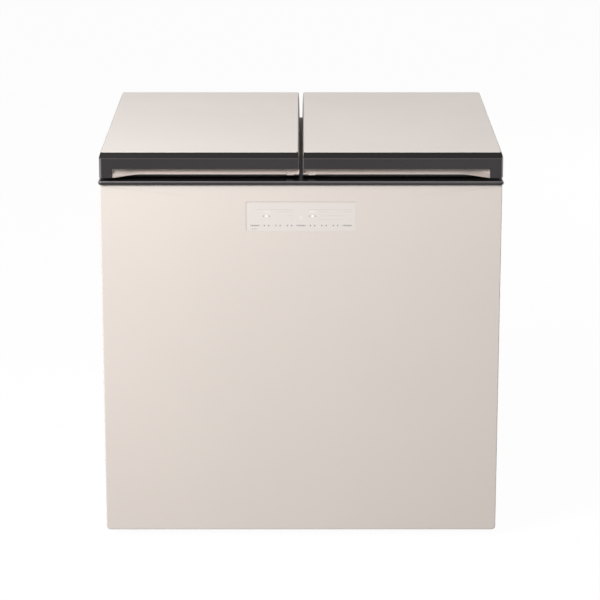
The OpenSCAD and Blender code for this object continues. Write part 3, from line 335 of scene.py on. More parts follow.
def painted(name, colour, low, high, peel=1.2e-5, **sockets):
    """Satin paint or film on sheet steel, with faint orange peel."""
    material, tree, shader = finish(name, colour, **sockets)
    feed(tree, shader, Base_Color=drifting(tree, colour, 0.012, 2.2), Roughness=wiped(tree, low, high, 5.0),
         Normal=relief(tree, 260.0, peel))
    return material


def etched(tree, shader, tone, low, high, size, depth):
    """Gives a moulded piece its tone and its etched grain."""
    grain = put(tree, "moulded grain", Size=size, Depth=depth, Smooth=low, Coarse=high)
    feed(tree, shader, Base_Color=tone, Roughness=grain["Roughness"], Normal=grain["Normal"])


def moulded(name, colour, low, high, size=900.0, depth=2.5e-5, drift=0.03, **sockets):
    """Moulded plastic with an etched grain."""
    material, tree, shader = finish(name, colour, **sockets)
    etched(tree, shader, drifting(tree, colour, drift, 6.0), low, high, size, depth)
    return material


def galvanised(name, colour, size):
    """Zinc-coated sheet."""
    material, tree, shader = finish(name, colour, metal=0.7)
    flowers = put(tree, "zinc flowers", Colour=colour, Size=size, Spread=0.035)
    feed(tree, shader, Base_Color=flowers["Colour"], Roughness=flowers["Roughness"],
         Normal=relief(tree, 420.0, 1.5e-5))
    return material


def drawn(name, colour, stretch, low=0.22, high=0.42, drift=0.05):
    """Drawn, rolled or turned bare metal."""
    material, tree, shader = finish(name, colour, metal=1.0)
    lines = put(tree, "drawn lines", Stretch=stretch, Depth=4e-6, Low=low, High=high)
    feed(tree, shader, Base_Color=drifting(tree, colour, drift, 14.0), Roughness=lines["Roughness"],
         Normal=lines["Normal"])
    return material


def charcoal_frame():
    """Charcoal moulding of the lid frame: satin, with a painted highlight, a lighter line, at the foot of the sloping
    band, and painted highlights that make the rounded corners at both ends of the front paler. Beside the parting the
    inner wall is painted with the beige of the panel, painted light that makes the wall as bright as it shows in the
    gap."""
    material, tree, shader = finish("charcoal lid frame", CHARCOAL, Specular_IOR_Level=0.36)
    x, y, z = axes(tree)
    across = calc(tree, "ABSOLUTE", x)
    # Painted highlight: a lighter line along the foot of the sloping band.
    painted_highlight_z, painted_highlight_half, painted_highlight_back = 0.8957, 0.0010, 0.330
    line = both(tree, within(tree, z, painted_highlight_z, painted_highlight_half), below(tree, y, painted_highlight_back))
    # Painted highlights: paler front ends of the frame beside the parting.
    painted_corner_x, painted_corner_y = 0.0058, -0.3468
    corner = both(tree, below(tree, across, painted_corner_x), below(tree, y, painted_corner_y))
    # Painted light: the inner wall beside the parting is painted beige so it looks as bright as it shows in the gap.
    wall_x, wall_foot, wall_front = 0.0082, 0.8580, -0.3482
    wall = both(tree, below(tree, across, wall_x), above(tree, z, wall_foot), above(tree, y, wall_front))
    # Painted highlights: the whole outer front corner of the left lid and a thin line on the right one are paler.
    painted_left_end, painted_right_end, painted_right_half, front_y, front_top = -0.4458, 0.4476, 0.0011, -0.3500, 0.8950
    ends = both(tree, below(tree, y, front_y), below(tree, z, front_top),
                either(tree, below(tree, x, painted_left_end), within(tree, x, painted_right_end, painted_right_half)))
    tone = mixed(tree, line, CHARCOAL, (0.052, 0.045, 0.048))
    tone = mixed(tree, corner, tone, (0.125, 0.112, 0.115))
    tone = mixed(tree, ends, tone, (0.135, 0.130, 0.132))
    tone = mixed(tree, wall, drifting(tree, tone, 0.05, 5.0), BEIGE)
    etched(tree, shader, tone, 0.27, 0.35, 1500.0, 4e-6)
    return material


def charcoal_rim():
    """Charcoal moulding of the rim, with a painted highlight line high on its rounded edge and ends painted paler as
    highlights.
    """
    material, tree, shader = finish("charcoal rim", RIM, Specular_IOR_Level=0.42)
    x, y, z = axes(tree)
    # Painted highlights: a lighter line high on the rounded edge, and paler ends.
    painted_highlight_z, painted_highlight_half, painted_end_x, painted_end_y = 0.8435, 0.0010, 0.4500, -0.352
    end = both(tree, above(tree, calc(tree, "ABSOLUTE", x), painted_end_x), below(tree, y, painted_end_y))
    tone = mixed(tree, within(tree, z, painted_highlight_z, painted_highlight_half), RIM, (0.125, 0.115, 0.118))
    # Painted highlight: the rim's outer front ends are paler.
    tone = mixed(tree, end, drifting(tree, tone, 0.05, 6.0), (0.11, 0.105, 0.106))
    etched(tree, shader, tone, 0.24, 0.31, 1500.0, 4e-6)
    return material


def beige_grip():
    """Beige moulding of the grip, with painted shade that makes it a little darker towards the pillar at each outer
    end.
    """
    material, tree, shader = finish("beige grip", GRIP)
    # Painted shade: the grip darkens towards the pillar at each outer end.
    fade_from, fade_to = 0.345, 0.385
    end = spread(tree, calc(tree, "ABSOLUTE", axes(tree)[0]), fade_from, fade_to)
    etched(tree, shader, drifting(tree, mixed(tree, end, GRIP, GRIP_PAINTED_SHADE), 0.015, 6.0), 0.42, 0.52, 1300.0, 8e-6)
    return material


def embossed_liner():
    """Aluminium liner with a stucco emboss: rounded hammered cells on top of soft waves."""
    material, tree, shader = finish("embossed liner", LINER, 0.45, 0.7)
    rise = calc(tree, "ADD", cells(tree, 230.0), calc(tree, "MULTIPLY", noise(tree, 90.0, 1.0)[0], 0.6))
    feed(tree, shader, Normal=bumped(tree, rise, 1.0e-4), Base_Color=drifting(tree, LINER, 0.04, 8.0),
         Roughness=wiped(tree, 0.42, 0.50, 9.0))
    return material


KEY_PITCH = 0.0258
LAMP_SIDE, LAMP_Z = 2 * KEY_PITCH, 0.7633


def from_lamp(tree, x):
    """Distance along x from the nearer of the two lamps, which stand on both sides of a point one key left of the
    middle."""
    return calc(tree, "SUBTRACT", calc(tree, "ABSOLUTE", calc(tree, "ADD", x, KEY_PITCH)), LAMP_SIDE)


def window_face():
    """Face of the display window: beige film with plain grey marks in a row over the touch keys, a thin rule and three
    rows of broken ticks over them on both sides, and pale light fields round the lamps."""
    material, tree, shader = finish("display window", BEIGE, 0.3, Coat_Weight=0.25, Coat_Roughness=0.12)
    x, _, z = axes(tree)

    def wide(middle, half):
        """1 over a stretch of the width."""
        return within(tree, x, middle, half)

    def tall(middle, half):
        """1 over a stretch of the height."""
        return within(tree, z, middle, half)

    def repeated(value, turn, middle, half):
        """1 over a stretch that comes back as the value runs to and fro between 0 and the turn."""
        return within(tree, calc(tree, "PINGPONG", value, turn), middle, half)

    def field(px, pz, half_x, half_z):
        """Soft round field: 1 at its middle, fading to 0 at its edge."""
        u = calc(tree, "DIVIDE", px, half_x)
        v = calc(tree, "DIVIDE", calc(tree, "SUBTRACT", z, pz), half_z)
        return spread(tree, from_middle(tree, u, v), 0.25, 1.0, 1.0, 0.0)

    # The marks over the keys: a group of bars at every fourth key, a pair of dots at the others
    key_z, key_row = 0.7416, 0.116
    turns = calc(tree, "DIVIDE", x, KEY_PITCH)
    number = calc(tree, "ROUND", turns)
    local = calc(tree, "MULTIPLY", calc(tree, "SUBTRACT", turns, number), KEY_PITCH)
    every_fourth = repeated(number, 2.0, 0.0, 0.1)
    bar_turn, bar_half = 0.0020, 0.00135
    bars = repeated(calc(tree, "ADD", local, bar_turn), bar_turn, 0.0, bar_half)
    long_mark = both(tree, bars, within(tree, local, 0.0, 0.0100))
    pair = within(tree, calc(tree, "ABSOLUTE", local), 0.0049, 0.0014)
    keys = both(tree, mixed(tree, every_fourth, pair, long_mark), wide(0.0, key_row), tall(key_z, 0.0017))
    between = both(tree, repeated(x, KEY_PITCH / 2, KEY_PITCH / 2, 0.0003), tall(key_z, 0.0010), wide(0.0, 0.092))
    under = both(tree, wide(-0.1056, 0.0070), tall(0.7335, 0.0009), bars)

    # The displays: a rule, and rows of ticks that noise breaks up
    rule = both(tree, tall(0.7786, 0.00032), either(tree, wide(-0.0578, 0.0419), wide(0.0648, 0.0492)))
    sides = either(tree, wide(-0.038, 0.021), wide(0.078, 0.036))
    rows = either(tree, *(tall(row_z, 0.0007) for row_z in (0.7737, 0.7645, 0.7550)))
    broken = spread(tree, noise(tree, 1.0, stretch=(60.0, 1.0, 114.0))[0], 0.47, 0.5)
    ticks = both(tree, sides, rows, repeated(x, 0.0021, 0.0, 0.0011), broken)
    lamp_x = from_lamp(tree, x)
    dots = field(calc(tree, "SUBTRACT", calc(tree, "ABSOLUTE", lamp_x), 0.0070), LAMP_Z, 0.0026, 0.0026)
    glow = either(tree, field(lamp_x, 0.7736, 0.012, 0.0045),
                  field(calc(tree, "ADD", x, 0.0009), 0.7600, 0.005, 0.006))

    strengths = ((keys, 0.74), (between, 0.28), (under, 0.62), (rule, 0.34), (ticks, 0.24), (dots, 0.55))
    dark = either(tree, *(calc(tree, "MULTIPLY", mask, strength) for mask, strength in strengths))
    pale = calc(tree, "MULTIPLY", glow, 0.55)
    tone = mixed(tree, pale, drifting(tree, BEIGE_FILM, 0.004, 4.0), (0.84, 0.80, 0.765))
    feed(tree, shader, Base_Color=mixed(tree, dark, tone, (0.16, 0.145, 0.14)),
         Roughness=wiped(tree, 0.28, 0.31, 12.0), Normal=relief(tree, 500.0, 3e-6))
    return material


def lamp_face():
    """Small white lamp that is lit: a bright middle in a ring of the window's own colour."""
    material, tree, shader = finish("lit lamp", BEIGE_FILM, 0.3, Emission_Strength=1.0)
    x, _, z = axes(tree)
    bright, dim = 0.0012, 0.0019
    reach = from_middle(tree, from_lamp(tree, x), calc(tree, "SUBTRACT", z, LAMP_Z))
    light = mixed(tree, noise(tree, 900.0)[0], (1, 1, 1), (0.86, 0.93, 1.0))
    feed(tree, shader, Emission_Color=mixed(tree, spread(tree, reach, bright, dim, 1.0, 0.0), (0, 0, 0), light))
    return material


def board_face():
    """Circuit board: green mask over copper tracks, with tinned pads."""
    material, tree, shader = finish("circuit board", (0.03, 0.14, 0.07), 0.35)
    turned = node(tree, "Mapping", {"Vector": place_of(tree), "Rotation": (math.radians(90), 0, 0)}).outputs[0]
    tracks = node(tree, "TexBrick", {"Vector": turned, "Scale": 90.0, "Color1": (0.02, 0.13, 0.06),
                                     "Color2": (0.03, 0.17, 0.08), "Mortar": (0.10, 0.30, 0.13),
                                     "Mortar Size": 0.06}).outputs[0]
    pad = below(tree, cells(tree, 260.0), 0.18)
    feed(tree, shader, Base_Color=mixed(tree, pad, tracks, (0.62, 0.60, 0.55)), Metallic=pad,
         Normal=relief(tree, 700.0, 1e-5))
    return material


def cellular_foam():
    """Rigid polyurethane foam: skin with small open cells and darker patches."""
    material, tree, shader = finish("rigid foam", (0.78, 0.68, 0.42), 0.85)
    open_cells = cells(tree, 420.0)
    patches = spread(tree, noise(tree, 14.0, 5.0)[0], 0.35, 0.7)
    feed(tree, shader, Normal=bumped(tree, open_cells, 5e-4),
         Base_Color=mixed(tree, patches, (0.80, 0.70, 0.45), (0.66, 0.55, 0.30)),
         Roughness=spread(tree, open_cells, 0.0, 0.6, 0.92, 0.7))
    return material


def container_body():
    """Milky resin of the containers: light passes a little, and the mould's flow shows as soft bands."""
    material, tree, shader = finish("container resin", RESIN, 0.4, Subsurface_Weight=0.15, Subsurface_Scale=0.01)
    flow = spread(tree, noise(tree, 1.0, stretch=(4.0, 4.0, 22.0))[0], 0.35, 0.65)
    feed(tree, shader, Base_Color=mixed(tree, flow, RESIN, (0.66, 0.625, 0.59)),
         Roughness=wiped(tree, 0.33, 0.46, 11.0), Normal=relief(tree, 900.0, 8e-6))
    return material


FINISH = {
    "front": painted("beige front sheet", BEIGE, 0.34, 0.40, Coat_Weight=0.12, Coat_Roughness=0.30),
    "side": painted("beige side sheet", BEIGE, 0.36, 0.43, Coat_Weight=0.10, Coat_Roughness=0.34),
    "top": painted("beige lid panel", BEIGE, 0.38, 0.44, Specular_IOR_Level=0.36, Coat_Weight=0.05,
                   Coat_Roughness=0.35),
    "grip": beige_grip(),
    "frame": charcoal_frame(),
    # Painted shade: a darker charcoal for the lids' sloping band and the rim's flat top.
    "band": moulded("charcoal band painted shade", (0.0080, 0.0068, 0.0066), 0.40, 0.50, size=1500.0, depth=6e-6, drift=0.05,
                    Specular_IOR_Level=0.17),
    "rim": charcoal_rim(),
    "black": moulded("black moulding", (0.022, 0.022, 0.023), 0.45, 0.6, size=800.0),
    "zinc": galvanised("zinc-coated sheet", (0.50, 0.51, 0.52), 140.0),
    "bright": drawn("plated steel", (0.62, 0.62, 0.61), (400, 400, 400), 0.2, 0.4),
    "liner": embossed_liner(),
    "white": moulded("white moulding", (0.80, 0.80, 0.785), 0.36, 0.46, size=1100.0, depth=1.2e-5, drift=0.012),
    "window": window_face(),
    "lamp": lamp_face(),
    "board": board_face(),
    "copper": drawn("copper tube", (0.72, 0.36, 0.22), (500, 500, 500), drift=0.12),
    "fins": drawn("aluminium fins", (0.70, 0.71, 0.72), (60, 1200, 900), 0.3, 0.5),
    "compressor": painted("black shell paint", (0.014, 0.014, 0.015), 0.22, 0.38, peel=6e-5, Coat_Weight=0.4,
                          Coat_Roughness=0.15),
    "foam": cellular_foam(),
    "rubber": moulded("grey rubber", (0.10, 0.10, 0.105), 0.6, 0.75, size=1600.0, depth=2e-5, drift=0.06),
    "gasket": moulded("charcoal gasket", (0.026, 0.025, 0.026), 0.62, 0.78, size=1600.0, depth=2e-5, drift=0.06,
                      Specular_IOR_Level=0.3),
    "tub": container_body(),
    "tub lid": moulded("container lid resin", (0.70, 0.685, 0.66), 0.38, 0.5, size=1000.0, depth=1.5e-5, drift=0.015),
}

# ---------------------------------------------------------------- surfaces


def outline(x0, y0, x1, y1, r, n=8):
    """Rounded rectangle, counter-clockwise: a quarter circle of radius r (one, or one for each corner) in n steps at
    each corner, joined by straight sides."""
    r = np.broadcast_to(np.asarray(r, float), (4,))
    middle = np.array([[x0 + r[0], y0 + r[0]], [x1 - r[1], y0 + r[1]], [x1 - r[2], y1 - r[2]], [x0 + r[3], y1 - r[3]]])
    turn = np.radians(np.array([180, 270, 0, 90])[:, None] + np.linspace(0, 90, n + 1))
    return (middle[:, None] + r[:, None, None] * np.stack([np.cos(turn), np.sin(turn)], -1)).reshape(-1, 2)


def at_z(flat, z):
    """A flat outline in x and y laid at height z."""
    return np.column_stack([flat, np.full(len(flat), z)])


def at_y(flat, y):
    """A flat outline in x and z stood at depth y."""
    return np.column_stack([flat[:, 0], np.full(len(flat), y), flat[:, 1]])


def laid(plan, rows):
    """Rings of a plan that shrinks by an inset, one at each (inset, height)."""
    return [at_z(plan(inset), z) for inset, z in rows]


def rounds(reach, n=5):
    """Steps of a quarter round as (inset, depth) pairs: inset shrinks from reach to 0 while depth grows to reach."""
    turn = np.radians(np.linspace(0, 90, n + 1))
    return [(reach * (1 - math.sin(q)), reach * (1 - math.cos(q))) for q in turn]


def skin(rings, closed=False):
    """Surface through equal rings of points: quads between neighbours, closed into a loop of rings or capped."""
    rings = np.asarray(rings, float)
    count, n = rings.shape[:2]
    i = np.arange(count if closed else count - 1)[:, None]
    k = np.arange(n)[None]
    j, l = (i + 1) % count, (k + 1) % n
    faces = [np.stack([i * n + k, i * n + l, j * n + l, j * n + k], -1).reshape(-1, 4)]
    if not closed:
        faces += [np.arange(n)[::-1][None], (np.arange(n) + (count - 1) * n)[None]]
    return rings.reshape(-1, 3), faces


def outwards(part):
    """The part with its faces turned so that the volume they enclose is positive."""
    points, faces = part
    volume = 0.0
    for f in faces:
        for k in range(1, f.shape[1] - 1):
            volume += np.einsum("ij,ij->i", points[f[:, 0]], np.cross(points[f[:, k]], points[f[:, k + 1]])).sum()
    return (points, faces) if volume > 0 else (points, [f[:, ::-1] for f in faces])


def handed(parts, side):
    """Left-hand parts as they are for side -1, mirrored in x for side 1."""
    return [(points * ((-1 if side > 0 else 1), 1, 1), faces) for points, faces in parts]


def shade(mesh, angle):
    """Smooth where faces meet under the given angle in degrees, else sharp."""
    mesh.shade_smooth()
    mesh.set_sharp_from_angle(angle=math.radians(angle))


def mesh_of(name, parts, smooth):
    """One mesh of several closed parts, smooth where faces meet under the given angle."""
    points, faces, base = [], [], 0
    for part in parts:
        p, fs = outwards(part)
        points.append(p)
        faces += [row for f in fs for row in (f + base).tolist()]
        base += len(p)
    mesh = bpy.data.meshes.new(name)
    mesh.from_pydata(np.concatenate(points).tolist(), [], faces)
    shade(mesh, smooth)
    return mesh


def show(name, mesh, look, nodes):
    """Puts a mesh with the given finish into the scene in place of CAD nodes: it rides on their body."""
    mesh.materials.append(FINISH[look])
    made = add(name, mesh)
    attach(made, frame["nodes"][nodes[0]]["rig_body"])
    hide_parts(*nodes)
    return made


def piece(name, parts, look, *nodes, smooth=35):
    """A new piece from computed surfaces, standing for CAD nodes."""
    return show(name, mesh_of(name, parts, smooth), look, nodes)


def values(items, key, kind=float, width=3):
    """One attribute of all items as an array, a row for each."""
    got = np.empty(len(items) * width, kind)
    items.foreach_get(key, got)
    return got.reshape(-1, width)


def softened(node_name, look, width=0.0, limit=30, segments=2, smooth=35):
    """A merged copy of a CAD node: flat triangles joined, and when a width is given, edges sharper than the limit
    rounded by a Bevel.
    """
    source = frame["nodes"][node_name].data
    mesh = bpy.data.meshes.new(node_name + "_soft")
    mesh.from_pydata(values(source.vertices, "co").tolist(), [],
                     values(source.loops, "vertex_index", int, 1).reshape(-1, 3).tolist())
    b = bmesh.new()
    b.from_mesh(mesh)
    bmesh.ops.remove_doubles(b, verts=b.verts, dist=2e-6)
    bmesh.ops.dissolve_limit(b, angle_limit=math.radians(0.4), verts=b.verts, edges=b.edges)
    b.to_mesh(mesh)
    b.free()
    shade(mesh, smooth)
    made = show(node_name + "_soft", mesh, look, [node_name])
    if width:
        bevel = made.modifiers.new("rounded edges", "BEVEL")
        bevel.width = width
        bevel.segments = segments
        bevel.limit_method = "ANGLE"
        bevel.angle_limit = math.radians(limit)
        bevel.harden_normals = True
    return made


def run_up(made):
    """Runs the upper edge of a body sheet up to the underside of the rim's rounded edge."""
    points = values(made.data.vertices, "co")
    points[points[:, 2] > BODY_Z - 0.1 * MM, 2] += SHEET_UP
    made.data.vertices.foreach_set("co", points.ravel())
    made.data.update()


def faces_of(made, look, pick):
    """Gives another finish to the faces of a piece that the pick marks from their normals and middles."""
    made.data.materials.append(FINISH[look])
    marked = pick(values(made.data.polygons, "normal"), values(made.data.polygons, "center"))
    made.data.polygons.foreach_set("material_index", marked.astype(np.int32))
    made.data.update()


# ---------------------------------------------------------------- front panel and rim

low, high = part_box("front_panel")
FRONT_Y, FOLD_Y, FLOOR_GAP, BODY_Z, HALF_W = low.y, high.y, low.z, high.z, high.x
rim_low, rim_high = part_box("rim_frame")
RIM_Z = BODY_Z + 12 * MM
SHEET_UP = 2 * MM
BACK_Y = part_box("side_panel_left")[1].y


def front_panel():
    """Steel pan: flat face between the window opening and a bent edge, a flange all round, and the sheet's inner
    side."""
    sheet, bend, flat = 1.2 * MM, 2.2 * MM, 1 * MM
    corners = np.array([9, 9, 3, 3]) * MM
    low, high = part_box("display_window")
    overlap, gap = 6 * MM, 0.12 * MM
    lip = overlap - gap
    wx, z0, z1 = high.x - lip, low.z + lip, high.z - lip

    def opening(g):
        return outline(-wx - g, z0 - g, wx + g, z1 + g, 2 * MM + g)

    def edge(g):
        return outline(-HALF_W + g, FLOOR_GAP + g, HALF_W - g, BODY_Z + SHEET_UP - g, corners - g)

    rolled = ((0, 1.2), (0, 0.35), (0.12, 0.1), (0.4, 0), (1, 0))
    rings = [at_y(opening(g * MM), FRONT_Y + d * MM) for g, d in rolled]
    rings += [at_y(edge(bend + flat), FRONT_Y)]
    rings += [at_y(edge(inset), FRONT_Y + depth) for inset, depth in rounds(bend, n=6)]
    rings += [at_y(edge(0), FRONT_Y + bend + flat), at_y(edge(0), FOLD_Y), at_y(edge(sheet), FOLD_Y)]
    rings += [at_y(edge(bend), FRONT_Y + sheet)]
    piece("front_panel_pan", [skin(rings, closed=True)], "front", "front_panel")


def rim():
    """Rim round both openings: for each half, rings run up the opening, out over the flat top and down the edge, a
    superellipse in section; the halves are joined on the middle line."""
    x0, y0, y1 = rim_low.x, rim_low.y, rim_high.y
    out = FRONT_Y - y0
    r = (RIM_Z - BODY_Z - SHEET_UP) / 2
    low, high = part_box("liner_left")
    flange, mouth, soft, power = 12 * MM, 24 * MM, 1.2 * MM, 0.8

    def opening(g):
        return outline(low.x + flange - g, low.y + flange - g, high.x - flange + g, high.y - flange + g, mouth + g, 10)

    def edge(g):
        return outline(x0 + g, y0 + g, 0, y1, [9 * MM - g, 0, 0, 4 * MM], 10)

    rings = laid(opening, [(0, BODY_Z), (0, RIM_Z - soft)])
    rings += laid(opening, [(soft - inset, RIM_Z - soft + depth) for depth, inset in rounds(soft, n=4)][::-1])
    rings += [at_z(opening(soft + 1 * MM), RIM_Z), at_z(edge(out + 1 * MM), RIM_Z)]
    turn = np.radians(np.linspace(90, -90, 25))
    u = np.abs(np.cos(turn)) ** power
    v = np.sign(np.sin(turn)) * np.abs(np.sin(turn)) ** power
    rings += laid(edge, zip(out * (1 - u), RIM_Z - r + r * v))
    half = skin(rings, closed=True)
    mesh = mesh_of("rim_edge", [half] + handed([half], 1), 40)
    b = bmesh.new()
    b.from_mesh(mesh)
    bmesh.ops.remove_doubles(b, verts=b.verts, dist=1e-6)
    inner = [f for f in b.faces if all(abs(v.co.x) < 1e-6 for v in f.verts)]
    bmesh.ops.delete(b, geom=inner, context="FACES_ONLY")
    b.to_mesh(mesh)
    b.free()
    mesh.set_sharp_from_angle(angle=math.radians(40))
    made = show("rim_edge", mesh, "rim", ["rim_frame"])
    # Painted shade: the rim's flat top, lying in the lids' shade, takes the darker band finish.
    faces_of(made, "band", lambda normal, middle: normal[:, 2] > 0.985)


STOP_X = 24 * MM


def rim_stops():
    """Two low stops on the rim's front: a rounded rectangle whose upper edge is a quarter round."""
    half_x, front, back, soft = 8 * MM, FRONT_Y + 2 * MM, FRONT_Y + 14 * MM, 1 * MM
    top = RIM_Z + 1.2 * MM
    parts = []
    for x in (-STOP_X, STOP_X):
        def foot(g):
            return outline(x - half_x + g, front + g, x + half_x - g, back - g, 2.2 * MM - g)
        parts.append(skin(laid(foot, [(0, RIM_Z - 1 * MM), (0, top - soft)]
                               + [(soft * (1 - math.cos(q)), top - soft * (1 - math.sin(q)))
                                  for q in np.radians([30, 60, 85])])))
    stops = add("rim_stops", mesh_of("rim_stops", parts, 35))
    stops.data.materials.append(FINISH["rim"])
    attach(stops, "cabinet")


# ---------------------------------------------------------------- lids

lid_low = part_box("lid_frame_left")[0]
LID_X0, LID_Z = lid_low.x, lid_low.z


def lid_frame(name):
    """Softened frame whose sloping band, the faces tilted between level and upright above its foot, takes a darker
    finish as painted shade.
    """
    slope_foot, parting = LID_Z + 46 * MM, 8.5 * MM
    made = softened("lid_frame_" + name, "frame", 0.9 * MM, limit=17, segments=3)
    faces_of(made, "band", lambda normal, middle: (normal[:, 2] > 0.15) & (middle[:, 2] > slope_foot)
             & (np.abs(middle[:, 0]) > parting))


def lid_panel(side, name):
    """Top panel: a plate with a rounded plan and a fine round along its upper edge."""
    low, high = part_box("lid_panel_left")
    soft, foot, flat = 0.8 * MM, 0.3 * MM, 0.6 * MM

    def plan(g):
        return outline(low.x + g, low.y + g, high.x - g, high.y - g, 5 * MM - g)

    rings = laid(plan, [(foot, low.z), (0, low.z + foot), (0, high.z - soft - 0.2 * MM)])
    rings += laid(plan, [(inset, high.z - depth) for inset, depth in rounds(soft)][::-1])
    rings += laid(plan, [(soft + flat, high.z)])
    piece("lid_plate_" + name, handed([skin(rings)], side), "top", "lid_panel_" + name)


def lid_grip(side, name):
    """Grip: for each x a closed section with a scoop whose height falls as a sine while it comes forward as a cosine,
    a rounded lip, and an underside that rises into the finger arch as a blend of a half cosine wave and a quarter
    sine; over the rim's stop it hangs down a little in a smooth step. The scoop's depth grows as a sine, from about a
    third at the pillar, and from nothing at the parting."""
    low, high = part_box("lid_grip_left")
    x0, x1, y0, back, z0, z1 = low.x, high.x, low.y, high.y, low.z, high.z
    deepest, r, arch = back - 7 * MM, 0.7 * MM, 8.2 * MM
    start, climb = LID_X0 + 31 * MM, 66 * MM
    tab_half, tab_step, tab_drop = 9.0 * MM, 2.4 * MM, 1.5 * MM
    outer_run, inner_run, least = 55 * MM, 4 * MM, 0.35

    ends = np.array([0, 0.15, 0.5, 1.1, 2.0, 3.2, 4.0]) * MM
    behind_pillar = np.array([5, 6.5, 8, 9]) * MM
    x = np.unique(np.concatenate([
        x0 + ends, x0 + behind_pillar, x1 - ends, np.linspace(start, start + climb, 34),
        np.linspace(start + climb, -STOP_X - 10 * MM, 30), -STOP_X + np.linspace(-9.6, 9.6, 33) * MM,
        np.linspace(-STOP_X + 10 * MM, x1 - 4.5 * MM, 4)]))
    t = np.clip((x - start) / climb, 0, 1)
    hang = np.clip((tab_half - np.abs(x + STOP_X)) / tab_step, 0, 1)
    under = z0 + arch * (0.4 * (1 - np.cos(math.pi * t)) / 2 + 0.6 * np.sin(math.pi * t / 2))
    under -= tab_drop * hang * hang * (3 - 2 * hang)
    lip = np.maximum(z0 + arch, under + 1.6 * MM)
    outer = least + (1 - least) * np.sin(np.clip((x - x0) / outer_run, 0, 1) * math.pi / 2)
    inner = np.sin(np.clip((x1 - x) / inner_run, 0, 1) * math.pi / 2)
    deep = y0 + 2 * r + (deepest - y0 - 2 * r) * np.minimum(outer, inner)

    u, v, y1 = under[:, None], lip[:, None], deep[:, None]
    ones = np.ones((len(x), 1))
    scoop = np.radians(np.linspace(0, 90, 17))[None]
    top = np.radians(np.linspace(90, 180, 5))[None, 1:]
    foot = np.radians(np.linspace(180, 270, 5))[None]
    y = np.hstack([back * ones, back * ones, y1 - (y1 - y0 - r) * (1 - np.cos(scoop)),
                   (y0 + r + r * np.cos(top)) * ones, (y0 + r + r * np.cos(foot)) * ones])
    z = np.hstack([u, z1 * ones, z1 - (z1 - v) * np.sin(scoop), v - r + r * np.sin(top), u + r + r * np.sin(foot)])
    rings = np.stack([np.broadcast_to(x[:, None], y.shape), y, z], -1)
    piece("lid_scoop_" + name, handed([skin(rings)], side), "grip", "lid_grip_" + name, smooth=40)


def lid_liner(side, name):
    """Lid liner: a thin shell whose rings run up the hollow of the plug, out over the plate, round its edge, back in
    under it by a fillet, down the plug and round its lower edge to a sunken field."""
    low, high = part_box("lid_liner_left")
    in_low, in_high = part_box("liner_left")
    flange, air, wall, fillet, foot = 12 * MM, 6 * MM, 2.5 * MM, 4 * MM, 6 * MM
    gap = flange + air

    def plug(g):
        return outline(in_low.x + gap - g, in_low.y + gap - g, in_high.x - gap + g, in_high.y - gap + g, 18 * MM + g)

    def plate(g):
        return outline(low.x - g, low.y - g, high.x + g, high.y + g, 4 * MM + g)

    turn = np.radians(np.arange(0, 91, 15))
    field = ((-8, 0), (-14, 0), (-15.5, 0.3), (-16.8, 1.2), (-17.6, 1.5))
    rings = laid(plug, [(-wall, low.z + wall), (-wall, high.z)])
    rings += laid(plate, [(-1 * MM, high.z), (0, high.z - 1 * MM), (0, LID_Z + 0.6 * MM), (-0.6 * MM, LID_Z)])
    rings += laid(plug, [(fillet * (1 - math.sin(q)), LID_Z - fillet * (1 - math.cos(q))) for q in turn])
    rings += laid(plug, [(0, low.z + foot + 1 * MM)])
    rings += laid(plug, [(-foot * (1 - math.cos(q)), low.z + foot * (1 - math.sin(q))) for q in turn])
    rings += laid(plug, [(g * MM, low.z + h * MM) for g, h in field])
    piece("lid_lining_" + name, handed([skin(rings)], side), "white", "lid_liner_" + name, smooth=30)


# ---------------------------------------------------------------- containers


def container(side, name):
    """Container: rings run up its inside, over the lip and down its outside, which leans in a little towards the floor
    and turns under in a round; four short feet stand below. The profiles are (inset, height) in mm, from the floor or
    from the lip's top."""
    low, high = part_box("tub_left")
    grow = 0.6 * MM
    x0, y0, x1, y1 = low.x - grow, low.y - grow, high.x + grow, high.y + grow
    floor_z, lip_z = low.z + 3 * MM, high.z

    def plan(g):
        return outline(x0 + g * MM, y0 + g * MM, x1 - g * MM, y1 - g * MM, (22 - g) * MM)

    profiles = (
        (floor_z, ((9.4, 2.4), (7.4, 3.4), (6.6, 5.4), (5.6, 30))),
        (lip_z, ((5.2, -8), (4.6, -1), (4.0, 0), (1.4, 0), (0.8, -0.5), (0.6, -1.2), (0.6, -4.2), (0.9, -5),
                 (3.0, -5.2), (3.0, -35.6), (1.0, -36), (0.6, -36.6), (0.6, -39.4), (1.0, -40), (3.0, -40.4))),
        (floor_z, ((3.4, 12), (3.9, 6), (5.2, 2.6), (7.6, 0.7), (10.5, 0), (14, 0), (15, 0.8))),
    )
    parts = [skin(laid(plan, [(g, base + h * MM) for base, profile in profiles for g, h in profile]))]
    corner = 22 * MM
    for fx in (x0 + corner, x1 - corner):
        for fy in (y0 + corner, y1 - corner):
            parts.append(skin(laid(lambda q: outline(fx - q, fy - q, fx + q, fy + q, q, 6), (
                (9.6 * MM, low.z), (10.6 * MM, low.z + 0.8 * MM), (11 * MM, floor_z + 1 * MM)))))
    piece("container_" + name, handed(parts, side), "tub", "tub_" + name, smooth=32)


